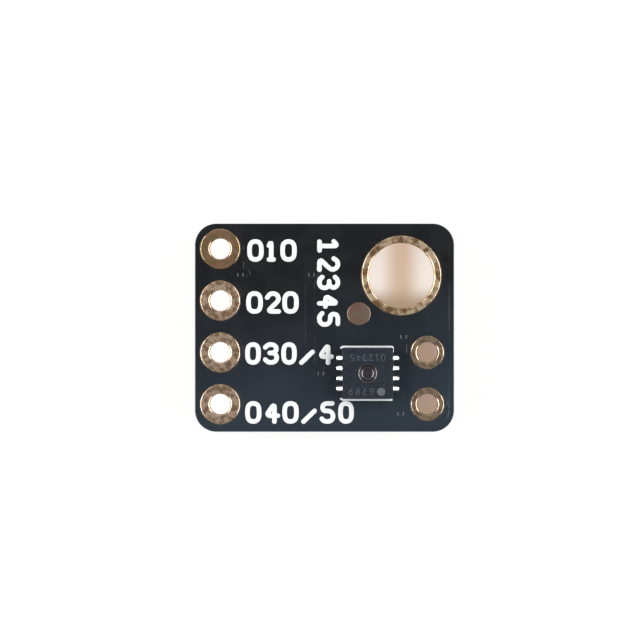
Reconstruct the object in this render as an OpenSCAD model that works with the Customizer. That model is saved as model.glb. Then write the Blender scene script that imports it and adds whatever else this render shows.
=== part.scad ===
// Temperature and humidity sensor board: a small masked circuit board with one moulded sensor chip
// that breathes through an open port, a column of four plated pin holes on the left, two more on
// the right, one large plated fixing hole, and pull-up resistors and a capacitor on the back.
// Millimetres, with X to the right and Y up as the board is read from above. The origin is the
// middle of the outline, level with the lowest faces of the back parts, on which the board rests.

/* [Board] */
// Width of the board along X
board_w = 12.7; // [12.4:0.1:14]
// Depth of the board along Y
board_d = 10.2; // [10.1:0.1:11.5]
// Thickness of the bare laminate
core_t = 1.5; // [0.8:0.1:2.4]
// Radius of the four corners
corner_r = 1.05; // [0.7:0.05:1.3]

/* [Copper, mask and print] */
// Thickness of the copper foil on each face
copper_t = 0.035; // [0.025:0.005:0.05]
// Thickness of the gold-faced finish on bare copper
finish_t = 0.025; // [0.015:0.005:0.04]
// Wall of the plated barrel inside a hole
barrel_t = 0.03; // [0.02:0.005:0.04]
// Thickness of the solder mask over the copper
mask_cover = 0.025; // [0.015:0.005:0.04]
// Ring of laminate left bare between a pad and the mask
mask_gap = 0.05; // [0.03:0.01:0.08]
// Thickness of the printed ink
ink_t = 0.02; // [0.01:0.005:0.025]
// Width of the printed bars beside the chip
bar_w = 0.13; // [0.08:0.01:0.15]
// Distance from the chip's edge to the middle of a printed bar
bar_off = 0.04; // [0.02:0.01:0.1]
// Length of a bar's slanted end, along X and along Y
bar_hook = 0.06; // [0.04:0.01:0.12]
// Length of the leg that turns down at the right end of the upper bar
bar_leg = 0.3; // [0.2:0.02:0.5]
// Width of that leg
bar_leg_w = 0.07; // [0.05:0.01:0.1]
// Distance from the board's edge to the ground pour
pour_inset = 0.28; // [0.22:0.02:0.34]
// Clearance between the ground pour and other copper
pour_gap = 0.2; // [0.15:0.01:0.24]
// Width of a track
track_w = 0.25; // [0.18:0.01:0.3]
// Width of the spokes that join the ground pad to the pour
spoke_w = 0.35; // [0.25:0.05:0.5]

/* [Pin holes] */
// Distance between neighbouring pin holes
pin_pitch = 2.54; // [2.48:0.01:2.6]
// Diameter of a finished pin hole
pin_hole_d = 1.02; // [0.8:0.02:1.1]
// Diameter of the pads in the left column
header_pad_d = 1.95; // [1.7:0.05:2]
// Diameter of the pads in the right column
side_pad_d = 1.62; // [1.5:0.02:1.7]
// Distance from the left edge to the left column
header_from_left = 1.235; // [1.2:0.005:1.3]
// Distance from the top edge to the first pin hole
header_from_top = 1.23; // [1.15:0.01:1.3]
// Distance between the two columns
column_span = 10.16; // [10.1:0.02:10.2]

/* [Fixing hole] */
// Diameter of the finished fixing hole
mount_hole_d = 3.2; // [2.8:0.1:3.4]
// Diameter of the plated ring around the fixing hole
mount_ring_d = 3.9; // [3.7:0.05:4]
// Distance from the right edge to the fixing hole
mount_from_right = 2.58; // [2.4:0.02:2.7]
// Distance from the top edge to the fixing hole
mount_from_top = 2.54; // [2.4:0.02:2.7]
// Diameter of the bare gold spot beside the ring
spot_d = 1.13; // [0.9:0.01:1.2]
// Mask left between the gold spot and the pour's edge round the ring
spot_gap = 0.09; // [0.06:0.01:0.12]

/* [Layout] */
// Distance from the right column of pin holes to the middle of the chip
chip_from_side = 2.93; // [2.9:0.01:2.98]
// Distance from the third row of pin holes down to the middle of the chip
chip_below_row = 1.025; // [0.95:0.005:1.1]
// Distance from the left column to the via at the supply pin
supply_via_x = 0.995; // [0.97:0.005:1.1]
// Distance from the left column to the via in the middle of the board
middle_via_x = 4.475; // [4.3:0.025:4.6]
// Distance from the chip's middle to the supply via on its left
chip_via_x = 2.3; // [2.2:0.02:2.4]
// Distance from the chip's middle to the right, to the clock via
clock_via_x = 1.76; // [1.7:0.01:1.8]
// Distance from the chip's middle upwards, to the clock via
clock_via_y = 1.79; // [1.75:0.01:1.8]
// Distance from the chip's middle to the right, to the data via
data_via_x = 1.62; // [1.55:0.01:1.7]
// Distance from the chip's middle downwards, to the data via
data_via_y = 1.97; // [1.9:0.01:2]
// Straight run of a track from a chip land before it turns
lead_run = 0.8; // [0.7:0.05:0.9]
// Straight run of a track from a pin's pad before it turns
pin_run = 1.3; // [1.2:0.05:1.4]
// Straight run of a track into a via
via_run = 0.6; // [0.5:0.05:0.7]
// Length of the short ground tracks that run into the pour
tie_l = 0.9; // [0.8:0.05:1]
// Height of the clock track on the back above the third row of pin holes
clock_lane_up = 0.3; // [0.2:0.02:0.4]
// Distance from the left column to the first pull-up resistor
clock_part_x = 2.515; // [2.4:0.02:2.6]
// Distance from the lane between the first two rows down to that resistor
clock_part_drop = 1.35; // [1.3:0.01:1.4]
// Distance from the chip's supply via to the second pull-up resistor on its left
data_part_x = 1.385; // [1.3:0.01:1.45]
// Distance of the second pull-up resistor below the chip's middle
data_part_drop = 0.35; // [0.3:0.01:0.4]
// Distance from the chip's middle to the address resistor on its right
address_part_x = 0.6; // [0.55:0.01:0.65]
// Distance of the address resistor below the chip's middle
address_part_drop = 0.1; // [0.05:0.01:0.15]
// Distance from the fixing ring to the capacitor
capacitor_gap = 0.57; // [0.5:0.01:0.6]
// Distance of the capacitor below the middle of the fixing hole
capacitor_drop = 1.56; // [1.5:0.01:1.6]

/* [Metal edges] */
// Radius of the rounded outer edge of a plated pad
pad_round = 0.045; // [0.02:0.005:0.05]
// Radius of the rounded mouth of a plated hole
mouth_round = 0.08; // [0.05:0.01:0.1]

/* [Vias] */
// Drill for the vias that join the two faces
via_drill_d = 0.3; // [0.25:0.01:0.35]
// Diameter of a via's rings
via_ring_d = 0.6; // [0.5:0.02:0.65]

/* [Sensor chip] */
// Side of the square case
chip_w = 2.5; // [2.3:0.05:2.6]
// Height of the case
chip_h = 0.9; // [0.75:0.05:1.1]
// Distance between neighbouring leads
lead_pitch = 0.5; // [0.44:0.01:0.55]
// Width of a lead
lead_w = 0.25; // [0.18:0.01:0.28]
// Length of a lead under the case
lead_l = 0.35; // [0.25:0.01:0.4]
// Thickness of the leads and of the die paddle
lead_t = 0.2; // [0.15:0.01:0.25]
// Width of the die paddle along X
paddle_w = 1.0; // [0.95:0.05:1.1]
// Length of the die paddle along Y
paddle_l = 1.7; // [1.5:0.05:1.9]
// Side of the square sensor die
die_w = 0.9; // [0.75:0.05:0.95]
// Thickness of the sensor die
die_t = 0.3; // [0.2:0.02:0.35]
// Thickness of the adhesive under the die
die_glue_t = 0.02; // [0.01:0.005:0.03]
// Diameter of the air port at the top of the case
port_top_d = 0.96; // [0.9:0.02:1.1]
// Diameter of the port's throat over the die
port_throat_d = 0.46; // [0.44:0.02:0.6]
// Depth of the flared part of the port
port_flare = 0.26; // [0.22:0.01:0.28]
// Radius of the rounded rim of the port
port_rim_round = 0.1; // [0.06:0.01:0.12]
// Radius of the rounded edge between the flare and the throat
port_neck_round = 0.08; // [0.04:0.01:0.09]
// Side of the humidity film on the die
film_w = 0.3; // [0.24:0.01:0.31]
// Thickness of the humidity film
film_t = 0.01; // [0.005:0.001:0.02]

/* [Solder] */
// Thickness of the solder between a land and its part
solder_t = 0.03; // [0.02:0.005:0.05]
// Amount by which a land reaches past the part's end
chip_toe = 0.28; // [0.2:0.02:0.34]
// Height of the solder on a chip lead's end
chip_climb = 0.15; // [0.08:0.01:0.15]
// Amount by which a resistor's or capacitor's land reaches past its end
part_toe = 0.3; // [0.2:0.02:0.35]
// Height of the solder on the end of a resistor or capacitor
part_climb = 0.28; // [0.15:0.01:0.35]

/* [Back parts] */
// Height of each resistor and of the capacitor
part_h = 0.45; // [0.4:0.01:0.5]
// Length of a resistor
resistor_l = 1.6; // [1.5:0.05:1.7]
// Width of a resistor
resistor_w = 0.8; // [0.7:0.05:0.85]
// Length of a resistor's end metal along its faces
resistor_end_l = 0.3; // [0.2:0.02:0.35]
// Length of the capacitor
capacitor_l = 1.0; // [0.95:0.05:1.1]
// Width of the capacitor
capacitor_w = 0.5; // [0.45:0.01:0.55]
// Length of the capacitor's end metal
capacitor_end_l = 0.25; // [0.2:0.01:0.3]
// Thickness of the end metal
end_t = 0.02; // [0.015:0.001:0.03]
// Thickness of the glaze on a resistor's face
glaze_t = 0.015; // [0.01:0.001:0.015]

/* [Hidden] */
RESISTORS = 3;
$fn = 64;
// Points on each rounded edge of a turned profile
ARC_STEPS = 5;
// Length by which a cutter runs past what it cuts
past = 0.5;

// Heights, from the lowest face of the back parts upwards
pad_t = copper_t + finish_t;
mask_t = copper_t + mask_cover;
core_low = part_h + solder_t + pad_t;
core_top = core_low + core_t;
mask_top_z = core_top + mask_t;
chip_low = core_top + pad_t + solder_t;
die_low = chip_low + lead_t + die_glue_t;
die_top = die_low + die_t;

// Places on the board, all laid out from the first pin hole and the edges
header_x = header_from_left - board_w / 2;
side_x = header_x + column_span;
header_at = [for (i = [0:3]) [header_x, board_d / 2 - header_from_top - i * pin_pitch]];
side_at = [for (i = [2:3]) [side_x, header_at[i][1]]];
mount_at = [board_w / 2 - mount_from_right, board_d / 2 - mount_from_top];
chip_at = side_at[0] - [chip_from_side, chip_below_row];
// Direction from the fixing hole to the gold spot, in degrees from +X
spot_turn = 222;
spot_reach = mount_ring_d / 2 + pour_gap + spot_gap + spot_d / 2;
spot_at = mount_at + spot_reach * [cos(spot_turn), sin(spot_turn)];

// Vias: supply in, supply across, chip supply, clock and data
upper_lane = (header_at[0][1] + header_at[1][1]) / 2;
via_in = [header_x + supply_via_x, upper_lane];
via_across = [header_x + middle_via_x, upper_lane];
via_chip = chip_at - [chip_via_x, 0];
via_clock = chip_at + [clock_via_x, clock_via_y];
via_data = chip_at + [data_via_x, -data_via_y];
via_at = [via_in, via_across, via_chip, via_clock, via_data];

// Chip lands: rows count down from the top lead, and each land is a little wider than its lead
land_w = lead_w + solder_t;
land_out = chip_w / 2 + chip_toe;
land_mid = chip_w / 2 + (chip_toe - lead_l) / 2;
function lead_y(row) = (1.5 - row) * lead_pitch;
function lead_at(side, row) = chip_at + [side * land_mid, lead_y(row)];
function toe_at(side, row) = chip_at + [side * (land_out - track_w / 2), lead_y(row)];
// Area free of the top pour: round the chip, and on to its right where the tracks leave
field_w = 2 * (land_out + pour_gap);
field_d = 3 * lead_pitch + land_w + 2 * pour_gap;
fan_out = land_out + lead_run;
fan_d = field_d + 2 * track_w;
bar_x = chip_w / 2;
bar_y = chip_w / 2 + bar_off;
bar_cut = bar_hook / 2;

// Back parts: place and turn of each, and the length of each land
resistor_at = [
    [header_x + clock_part_x, upper_lane - clock_part_drop],
    [via_chip[0] - data_part_x, chip_at[1] - data_part_drop],
    [chip_at[0] + address_part_x, chip_at[1] - address_part_drop]
];
resistor_turn = [90, 90, 0];
capacitor_at = mount_at - [mount_ring_d / 2 + capacitor_gap + capacitor_w / 2, capacitor_drop];
capacitor_turn = 90;
// A resistor's lands reach a third of the end metal's length further in
resistor_land_l = resistor_end_l * 4 / 3 + part_toe;
capacitor_land_l = capacitor_end_l + part_toe;
function land_centre(length, land_l) = length / 2 + part_toe - land_l / 2;
function turned(turn, v) = [v[0] * cos(turn) - v[1] * sin(turn), v[0] * sin(turn) + v[1] * cos(turn)];
function resistor_pad(i, side) = resistor_at[i]
    + turned(resistor_turn[i], [side * land_centre(resistor_l, resistor_land_l), 0]);
function capacitor_pad(side) = capacitor_at
    + turned(capacitor_turn, [side * land_centre(capacitor_l, capacitor_land_l), 0]);

// Tracks on the top face, each a path between two pads
top_tracks = [
    [header_at[0], [via_in[0], via_in[1] + via_run], via_in],
    [via_across, [via_across[0], via_chip[1] + abs(via_chip[0] - via_across[0])], via_chip],
    [via_chip, via_chip + [lead_pitch / 2, lead_pitch / 2], lead_at(-1, 1)],
    [toe_at(-1, 0) + [0, track_w / 2], toe_at(-1, 1) - [0, track_w / 2]],
    [lead_at(1, 0), [via_clock[0], lead_at(1, 0)[1] + via_run / 2], via_clock],
    [lead_at(1, 1), lead_at(1, 1) + [lead_run, 0], side_at[0]],
    [lead_at(1, 2), lead_at(1, 2) + [lead_run - track_w, 0], side_at[1]],
    [lead_at(1, 3), [via_data[0], lead_at(1, 3)[1] - via_run / 2], via_data]
];
// Short ground tracks from the chip's lower left leads into the pour
top_ties = [
    [toe_at(-1, 2) + [0, track_w / 2], toe_at(-1, 3) - [0, track_w / 2]],
    [lead_at(-1, 3), lead_at(-1, 3) - [tie_l, 0]]
];
clock_lane = header_at[2][1] + clock_lane_up;
data_lane = via_data[1];
// Tracks on the back face
back_tracks = [
    [via_in, via_across],
    [[resistor_at[0][0], upper_lane], resistor_pad(0, 1)],
    [via_across, [capacitor_at[0], via_across[1] - via_run], capacitor_pad(1)],
    [header_at[2], [header_x + pin_run, clock_lane], [via_clock[0] - via_run, clock_lane], via_clock],
    [resistor_pad(0, -1), [resistor_at[0][0], clock_lane]],
    [header_at[3], [header_x + pin_run, data_lane], via_data],
    [resistor_pad(1, -1), [resistor_at[1][0], data_lane]],
    [via_chip, [resistor_at[1][0] + resistor_w / 2, resistor_pad(1, 1)[1]], resistor_pad(1, 1)],
    [resistor_pad(2, 1), [resistor_pad(2, 1)[0] + resistor_w / 2, resistor_pad(2, 1)[1]], side_at[1]]
];
// Short ground tracks from the address resistor and the capacitor into the pour
back_ties = [
    [resistor_pad(2, -1), resistor_pad(2, -1) - [tie_l, 0]],
    [capacitor_pad(-1), capacitor_pad(-1) - [0, tie_l]]
];

// Flat outlines

function unit(v) = v / norm(v);
function left_of(v) = [-v[1], v[0]];
// Sideways offset of a path at point i, so that a strip h to each side keeps its width at a corner
function mitre(path, i, h) =
    let (
        j = max(i, 1),
        k = min(i, len(path) - 2),
        arriving = unit(path[j] - path[j - 1]),
        leaving = unit(path[k + 1] - path[k])
    )
    h * left_of(arriving + leaving) / (1 + arriving * leaving);

// A strip of width w along a path
module strip(path, w) {
    last = len(path) - 1;
    polygon(concat(
        [for (i = [0:last]) path[i] + mitre(path, i, w / 2)],
        [for (i = [last:-1:0]) path[i] - mitre(path, i, w / 2)]
    ));
}

module disc(at, d) {
    translate(at) circle(d = d);
}

// The board's outline, drawn in from its edge
module outline(inset = 0) {
    w = board_w - 2 * inset;
    d = board_d - 2 * inset;
    r = corner_r - inset;
    square([w - 2 * r, d], center = true);
    square([w, d - 2 * r], center = true);
    for (sx = [-1, 1], sy = [-1, 1])
        disc([sx * (w / 2 - r), sy * (d / 2 - r)], 2 * r);
}

// Discs on every plated pad and via of the board, grown on all sides
module pad_discs(grow, vias = true) {
    for (at = header_at)
        disc(at, header_pad_d + 2 * grow);
    for (at = side_at)
        disc(at, side_pad_d + 2 * grow);
    disc(mount_at, mount_ring_d + 2 * grow);
    if (vias)
        for (at = via_at)
            disc(at, via_ring_d + 2 * grow);
}

// Lands under the chip's leads and its paddle, grown on all sides
module chip_land_shapes(grow = 0) {
    for (side = [-1, 1], row = [0:3])
        translate(lead_at(side, row))
            square([lead_l + chip_toe + 2 * grow, land_w + 2 * grow], center = true);
    translate(chip_at)
        square([paddle_w + 2 * grow, paddle_l + 2 * grow], center = true);
}

// The two lands of one back part, grown on all sides
module part_land_shapes(at, turn, length, width, land_l, grow = 0) {
    translate(at)
        rotate(turn)
            for (side = [-1, 1])
                translate([side * land_centre(length, land_l), 0])
                    square([land_l + 2 * grow, width + 2 * grow], center = true);
}

module back_land_shapes(grow = 0) {
    for (i = [0:RESISTORS - 1])
        part_land_shapes(resistor_at[i], resistor_turn[i], resistor_l, resistor_w, resistor_land_l, grow);
    part_land_shapes(capacitor_at, capacitor_turn, capacitor_l, capacitor_w, capacitor_land_l, grow);
}

// Spokes from the ground pad into the pour: up, down and to the right
module ground_spokes() {
    reach = header_pad_d / 2 + 2 * pour_gap;
    translate(header_at[1]) {
        square([spoke_w, 2 * reach], center = true);
        translate([0, -spoke_w / 2]) square([reach, spoke_w]);
    }
}

// Area around the chip that the top pour leaves free
module chip_field() {
    translate(chip_at) {
        square([field_w, field_d], center = true);
        translate([0, -fan_d / 2]) square([fan_out, fan_d]);
    }
}

module top_pour_shape() {
    difference() {
        outline(pour_inset);
        pad_discs(pour_gap);
        chip_field();
        for (path = top_tracks)
            strip(path, track_w + 2 * pour_gap);
    }
    ground_spokes();
    for (path = top_ties)
        strip(path, track_w);
}

module back_pour_shape() {
    difference() {
        outline(pour_inset);
        pad_discs(pour_gap);
        back_land_shapes(pour_gap);
        for (path = back_tracks)
            strip(path, track_w + 2 * pour_gap);
    }
    ground_spokes();
    for (path = back_ties)
        strip(path, track_w);
}

module track_shapes(paths) {
    for (path = paths)
        strip(path, track_w);
}

// Board

module substrate() {
    color("#b3a878")
        translate([0, 0, core_low])
            difference() {
                linear_extrude(core_t) outline();
                translate([0, 0, -past])
                    linear_extrude(core_t + 2 * past) {
                        for (at = concat(header_at, side_at))
                            disc(at, pin_hole_d + 2 * barrel_t);
                        disc(mount_at, mount_hole_d + 2 * barrel_t);
                        for (at = via_at)
                            disc(at, via_drill_d);
                    }
            }
}

module ground_pour_top() {
    color("#b87333")
        translate([0, 0, core_top])
            linear_extrude(copper_t)
                difference() {
                    top_pour_shape();
                    disc(header_at[1], header_pad_d);
                    chip_land_shapes();
                }
}

module tracks_top() {
    color("#b87333")
        translate([0, 0, core_top])
            linear_extrude(copper_t)
                difference() {
                    track_shapes(top_tracks);
                    pad_discs(0);
                    chip_land_shapes();
                }
}

module ground_pour_back() {
    color("#b87333")
        translate([0, 0, core_low - copper_t])
            linear_extrude(copper_t)
                difference() {
                    back_pour_shape();
                    disc(header_at[1], header_pad_d);
                    back_land_shapes();
                }
}

module tracks_back() {
    color("#b87333")
        translate([0, 0, core_low - copper_t])
            linear_extrude(copper_t)
                difference() {
                    track_shapes(back_tracks);
                    pad_discs(0);
                    back_land_shapes();
                }
}

// The mask lies flat over the copper, which stands into its underside
module mask_top() {
    color("#26272a")
        translate([0, 0, core_top])
            difference() {
                linear_extrude(mask_t)
                    difference() {
                        outline();
                        pad_discs(mask_gap, vias = false);
                        chip_land_shapes(mask_gap);
                        disc(spot_at, spot_d);
                    }
                translate([0, 0, -past])
                    linear_extrude(copper_t + past) {
                        top_pour_shape();
                        track_shapes(top_tracks);
                        for (at = via_at)
                            disc(at, via_ring_d);
                    }
            }
}

module mask_back() {
    color("#26272a")
        translate([0, 0, core_low - mask_t])
            difference() {
                linear_extrude(mask_t)
                    difference() {
                        outline();
                        pad_discs(mask_gap, vias = false);
                        back_land_shapes(mask_gap);
                    }
                translate([0, 0, mask_cover])
                    linear_extrude(copper_t + past) {
                        back_pour_shape();
                        track_shapes(back_tracks);
                        for (at = via_at)
                            disc(at, via_ring_d);
                    }
            }
}

// Plated holes

// Points on an arc of radius r about c, from angle a through a quarter turn or the turn given
function quarter(c, r, a, turn = 90) =
    [for (k = [0:ARC_STEPS]) c + r * [cos(a + turn * k / ARC_STEPS), sin(a + turn * k / ARC_STEPS)]];

// A plated hole: a barrel through the board with a rounded mouth and a round-shouldered pad on
// both faces. The profile is in radius and height, with the laminate's lower face at zero.
module eyelet(hole_d, pad_d) {
    hole_r = hole_d / 2;
    pad_r = pad_d / 2;
    top = core_t + pad_t;
    low = -pad_t;
    translate([0, 0, core_low])
        rotate_extrude()
            polygon(concat(
                quarter([hole_r + mouth_round, top - mouth_round], mouth_round, 180, -90),
                quarter([pad_r - pad_round, top - pad_round], pad_round, 90, -90),
                [[pad_r, core_t], [hole_r + barrel_t, core_t], [hole_r + barrel_t, 0], [pad_r, 0]],
                quarter([pad_r - pad_round, low + pad_round], pad_round, 0, -90),
                quarter([hole_r + mouth_round, low + mouth_round], mouth_round, 270, -90)
            ));
}

module header_eyelet(i) {
    color("#b08d57")
        translate(header_at[i])
            eyelet(pin_hole_d, header_pad_d);
}

module side_eyelet(i) {
    color("#b08d57")
        translate(side_at[i])
            eyelet(pin_hole_d, side_pad_d);
}

module fixing_eyelet() {
    color("#b08d57")
        translate(mount_at)
            eyelet(mount_hole_d, mount_ring_d);
}

// A via: a barrel with a flat ring on each face, closed over by the mask
module via() {
    outer = via_drill_d / 2;
    inner = outer - barrel_t;
    ring = via_ring_d / 2;
    rotate_extrude()
        polygon([
            [inner, core_low - copper_t], [ring, core_low - copper_t], [ring, core_low], [outer, core_low],
            [outer, core_top], [ring, core_top], [ring, core_top + copper_t], [inner, core_top + copper_t]
        ]);
}

module vias() {
    color("#b87333")
        for (at = via_at)
            translate(at) via();
}

module gold_spot() {
    color("#8b6a55")
        translate([0, 0, core_top + copper_t])
            linear_extrude(finish_t)
                disc(spot_at, spot_d);
}

// Sensor chip

module chip_lands() {
    color("#c9a862")
        translate([0, 0, core_top])
            linear_extrude(pad_t) chip_land_shapes();
}

// One soldered end, with X outward from the part's end face and Z up from the land: a film under
// the part and a hollow fillet that climbs its end
module solder_joint(under, reach, climb, width) {
    rotate([90, 0, 0])
        linear_extrude(width, center = true)
            polygon(concat(
                [[-under, 0]],
                [for (k = [0:ARC_STEPS]) let (a = 90 * k / ARC_STEPS)
                    [reach * (1 - sin(a)), (solder_t + climb) * (1 - cos(a))]],
                [[0, solder_t], [-under, solder_t]]
            ));
}

module chip_solder() {
    color("#e8e8e6") {
        for (side = [-1, 1], row = [0:3])
            translate([chip_at[0] + side * chip_w / 2, chip_at[1] + lead_y(row), core_top + pad_t])
                mirror([side < 0 ? 1 : 0, 0, 0])
                    solder_joint(lead_l, chip_toe, chip_climb, lead_w);
        translate([chip_at[0], chip_at[1], core_top + pad_t])
            linear_extrude(solder_t)
                square([paddle_w, paddle_l], center = true);
    }
}

// A block centred on the chip, with its lower face at height z
module chip_block(size, z) {
    translate([chip_at[0] - size[0] / 2, chip_at[1] - size[1] / 2, z])
        cube(size);
}

module lead_blocks() {
    for (side = [-1, 1], row = [0:3])
        translate([0, lead_y(row), 0])
            translate([side * (chip_w - lead_l) / 2, 0, 0])
                chip_block([lead_l, lead_w, lead_t], chip_low);
}

// The port as a turned cutter: a straight throat, a rounded neck, a flare and a rounded rim. The
// flare is the straight line that touches both rounded edges, at the same angle on each.
module port() {
    top = chip_low + chip_h;
    neck = [port_throat_d / 2 + port_neck_round, top - port_flare];
    rim = [port_top_d / 2, top - port_rim_round];
    span = rim - neck;
    touch = atan2(span[1], span[0]) + acos((port_neck_round - port_rim_round) / norm(span));
    translate(chip_at)
        rotate_extrude()
            polygon(concat(
                [[0, die_top - die_t / 2], [port_throat_d / 2, die_top - die_t / 2]],
                quarter(neck, port_neck_round, 180, touch - 180),
                quarter(rim, port_rim_round, touch, 90 - touch),
                [[rim[0], top + past], [0, top + past]]
            ));
}

// The moulded case, closed on the die except for a flared port above it
module chip_case() {
    color("#232428")
        difference() {
            chip_block([chip_w, chip_w, chip_h], chip_low);
            lead_blocks();
            chip_block([paddle_w, paddle_l, lead_t], chip_low);
            chip_block([die_w, die_w, die_glue_t + die_t], chip_low + lead_t);
            port();
        }
}

module chip_leads() {
    color("#d9d9d9") lead_blocks();
}

module die_paddle() {
    color("#c98f5a") chip_block([paddle_w, paddle_l, lead_t], chip_low);
}

module die_glue() {
    color("#d8d8c8") chip_block([die_w, die_w, die_glue_t], chip_low + lead_t);
}

module sensor_die() {
    color("#4a4a55") chip_block([die_w, die_w, die_t], die_low);
}

module humidity_film() {
    color("#5a1f24") chip_block([film_w, film_w, film_t], die_top);
}

// Printed bars above and below the chip, drawn about the chip's centre
module print_bar() {
    color("#f4f4f4")
        translate([chip_at[0], chip_at[1], mask_top_z])
            linear_extrude(ink_t)
                children();
}

module print_bar_top() {
    print_bar() {
        strip([
            [-bar_x - bar_hook, bar_y - bar_hook], [-bar_x, bar_y],
            [bar_x - bar_cut, bar_y], [bar_x, bar_y - bar_cut]
        ], bar_w);
        strip([[bar_x, bar_y - bar_cut], [bar_x, bar_y - bar_leg]], bar_leg_w);
    }
}

module print_bar_bottom() {
    print_bar()
        strip([[-bar_x - bar_hook, bar_hook - bar_y], [-bar_x, -bar_y], [bar_x - bar_cut, -bar_y]], bar_w);
}

// Back parts

module back_lands() {
    color("#c9a862")
        translate([0, 0, core_low - pad_t])
            linear_extrude(pad_t) back_land_shapes();
}

module at_resistor(i) {
    translate(resistor_at[i]) rotate(resistor_turn[i]) children();
}

module at_capacitor() {
    translate(capacitor_at) rotate(capacitor_turn) children();
}

// Both soldered ends of a back part, hanging below its lands
module part_solder(length, width, end_l) {
    for (side = [0, 1])
        mirror([side, 0, 0])
            translate([length / 2, 0, part_h + solder_t])
                mirror([0, 0, 1])
                    solder_joint(end_l, part_toe, part_climb, width);
}

module resistor_body(i) {
    color("#f0eee6")
        at_resistor(i)
            translate([end_t - resistor_l / 2, -resistor_w / 2, end_t])
                cube([resistor_l - 2 * end_t, resistor_w, part_h - 2 * end_t]);
}

module resistor_glaze(i) {
    length = resistor_l - 2 * resistor_end_l;
    color("#202124")
        at_resistor(i)
            translate([-length / 2, -resistor_w / 2, end_t - glaze_t])
                cube([length, resistor_w, glaze_t]);
}

// End metal folded round each end of a resistor: a C in section
module resistor_ends(i) {
    color("#d5d5d2")
        at_resistor(i)
            for (side = [0, 1])
                mirror([side, 0, 0])
                    translate([resistor_l / 2, 0, 0])
                        rotate([90, 0, 0])
                            linear_extrude(resistor_w, center = true)
                                difference() {
                                    translate([-resistor_end_l, 0]) square([resistor_end_l, part_h]);
                                    translate([-resistor_end_l - past, end_t])
                                        square([resistor_end_l + past - end_t, part_h - 2 * end_t]);
                                }
}

module resistor_solder(i) {
    color("#e8e8e6")
        at_resistor(i) part_solder(resistor_l, resistor_w, resistor_end_l);
}

module capacitor_block(grow = 0) {
    length = capacitor_l - 2 * end_t;
    width = capacitor_w - 2 * end_t;
    translate([-length / 2 - grow, -width / 2 - grow, end_t - grow])
        cube([length + 2 * grow, width + 2 * grow, part_h - 2 * end_t + 2 * grow]);
}

module capacitor_body() {
    color("#c2a27a")
        at_capacitor() capacitor_block();
}

// End metal: a cap over all five faces of each end
module capacitor_ends() {
    color("#d5d5d2")
        at_capacitor()
            difference() {
                capacitor_block(end_t);
                capacitor_block();
                translate([capacitor_end_l - capacitor_l / 2, -capacitor_w, -past])
                    cube([capacitor_l - 2 * capacitor_end_l, 2 * capacitor_w, part_h + 2 * past]);
            }
}

module capacitor_solder() {
    color("#e8e8e6")
        at_capacitor() part_solder(capacitor_l, capacitor_w, capacitor_end_l);
}

substrate();
ground_pour_top();
tracks_top();
ground_pour_back();
tracks_back();
mask_top();
mask_back();
vias();
fixing_eyelet();
for (i = [0:3])
    header_eyelet(i);
for (i = [0:1])
    side_eyelet(i);
gold_spot();
chip_lands();
chip_solder();
chip_case();
chip_leads();
die_paddle();
die_glue();
sensor_die();
humidity_film();
print_bar_top();
print_bar_bottom();
back_lands();
for (i = [0:RESISTORS - 1]) {
    resistor_body(i);
    resistor_glaze(i);
    resistor_ends(i);
    resistor_solder(i);
}
capacitor_body();
capacitor_ends();
capacitor_solder();
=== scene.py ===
"""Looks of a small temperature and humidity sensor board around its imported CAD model.

Everything is in the CAD frame and in metres: +X to the right, +Y up the board as it is read from
above and +Z out of the chip side. Each class below is one sub-assembly: it reads its places from
the frame, works its surfaces out as numpy arrays and gives them their finishes.
"""

import logging
from collections.abc import Callable, Sequence
from dataclasses import dataclass, replace
from enum import Enum
from math import pi, radians, tau

import bpy
import numpy as np
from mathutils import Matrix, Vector
from mathutils.geometry import delaunay_2d_cdt


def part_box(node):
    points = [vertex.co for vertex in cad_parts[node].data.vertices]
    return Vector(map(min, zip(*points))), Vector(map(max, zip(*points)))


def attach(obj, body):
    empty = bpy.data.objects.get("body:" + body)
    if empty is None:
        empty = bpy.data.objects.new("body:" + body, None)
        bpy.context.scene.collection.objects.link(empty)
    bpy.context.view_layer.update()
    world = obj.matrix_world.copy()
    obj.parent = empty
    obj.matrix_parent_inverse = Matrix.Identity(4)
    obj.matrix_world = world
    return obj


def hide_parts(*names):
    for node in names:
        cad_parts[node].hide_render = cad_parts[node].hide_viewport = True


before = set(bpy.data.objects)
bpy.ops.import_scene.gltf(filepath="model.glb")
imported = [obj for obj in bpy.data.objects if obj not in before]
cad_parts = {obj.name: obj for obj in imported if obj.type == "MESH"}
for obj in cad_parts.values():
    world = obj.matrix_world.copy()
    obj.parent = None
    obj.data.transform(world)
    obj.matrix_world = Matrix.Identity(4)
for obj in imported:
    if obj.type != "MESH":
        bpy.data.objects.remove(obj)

LOG = logging.getLogger("sensor_board")
# A millimetre in metres
MM = 0.001
Colour = tuple[float, float, float]
Array = np.ndarray


class Face(Enum):
    """The two faces of the board, with the direction in which each one looks."""

    TOP = 1
    BACK = -1


# Node trees


# Where a mix node has its two colours among its inputs, and the mixed one among its outputs
MIX_FIRST, MIX_SECOND, MIX_RESULT = 6, 7, 2


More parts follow.
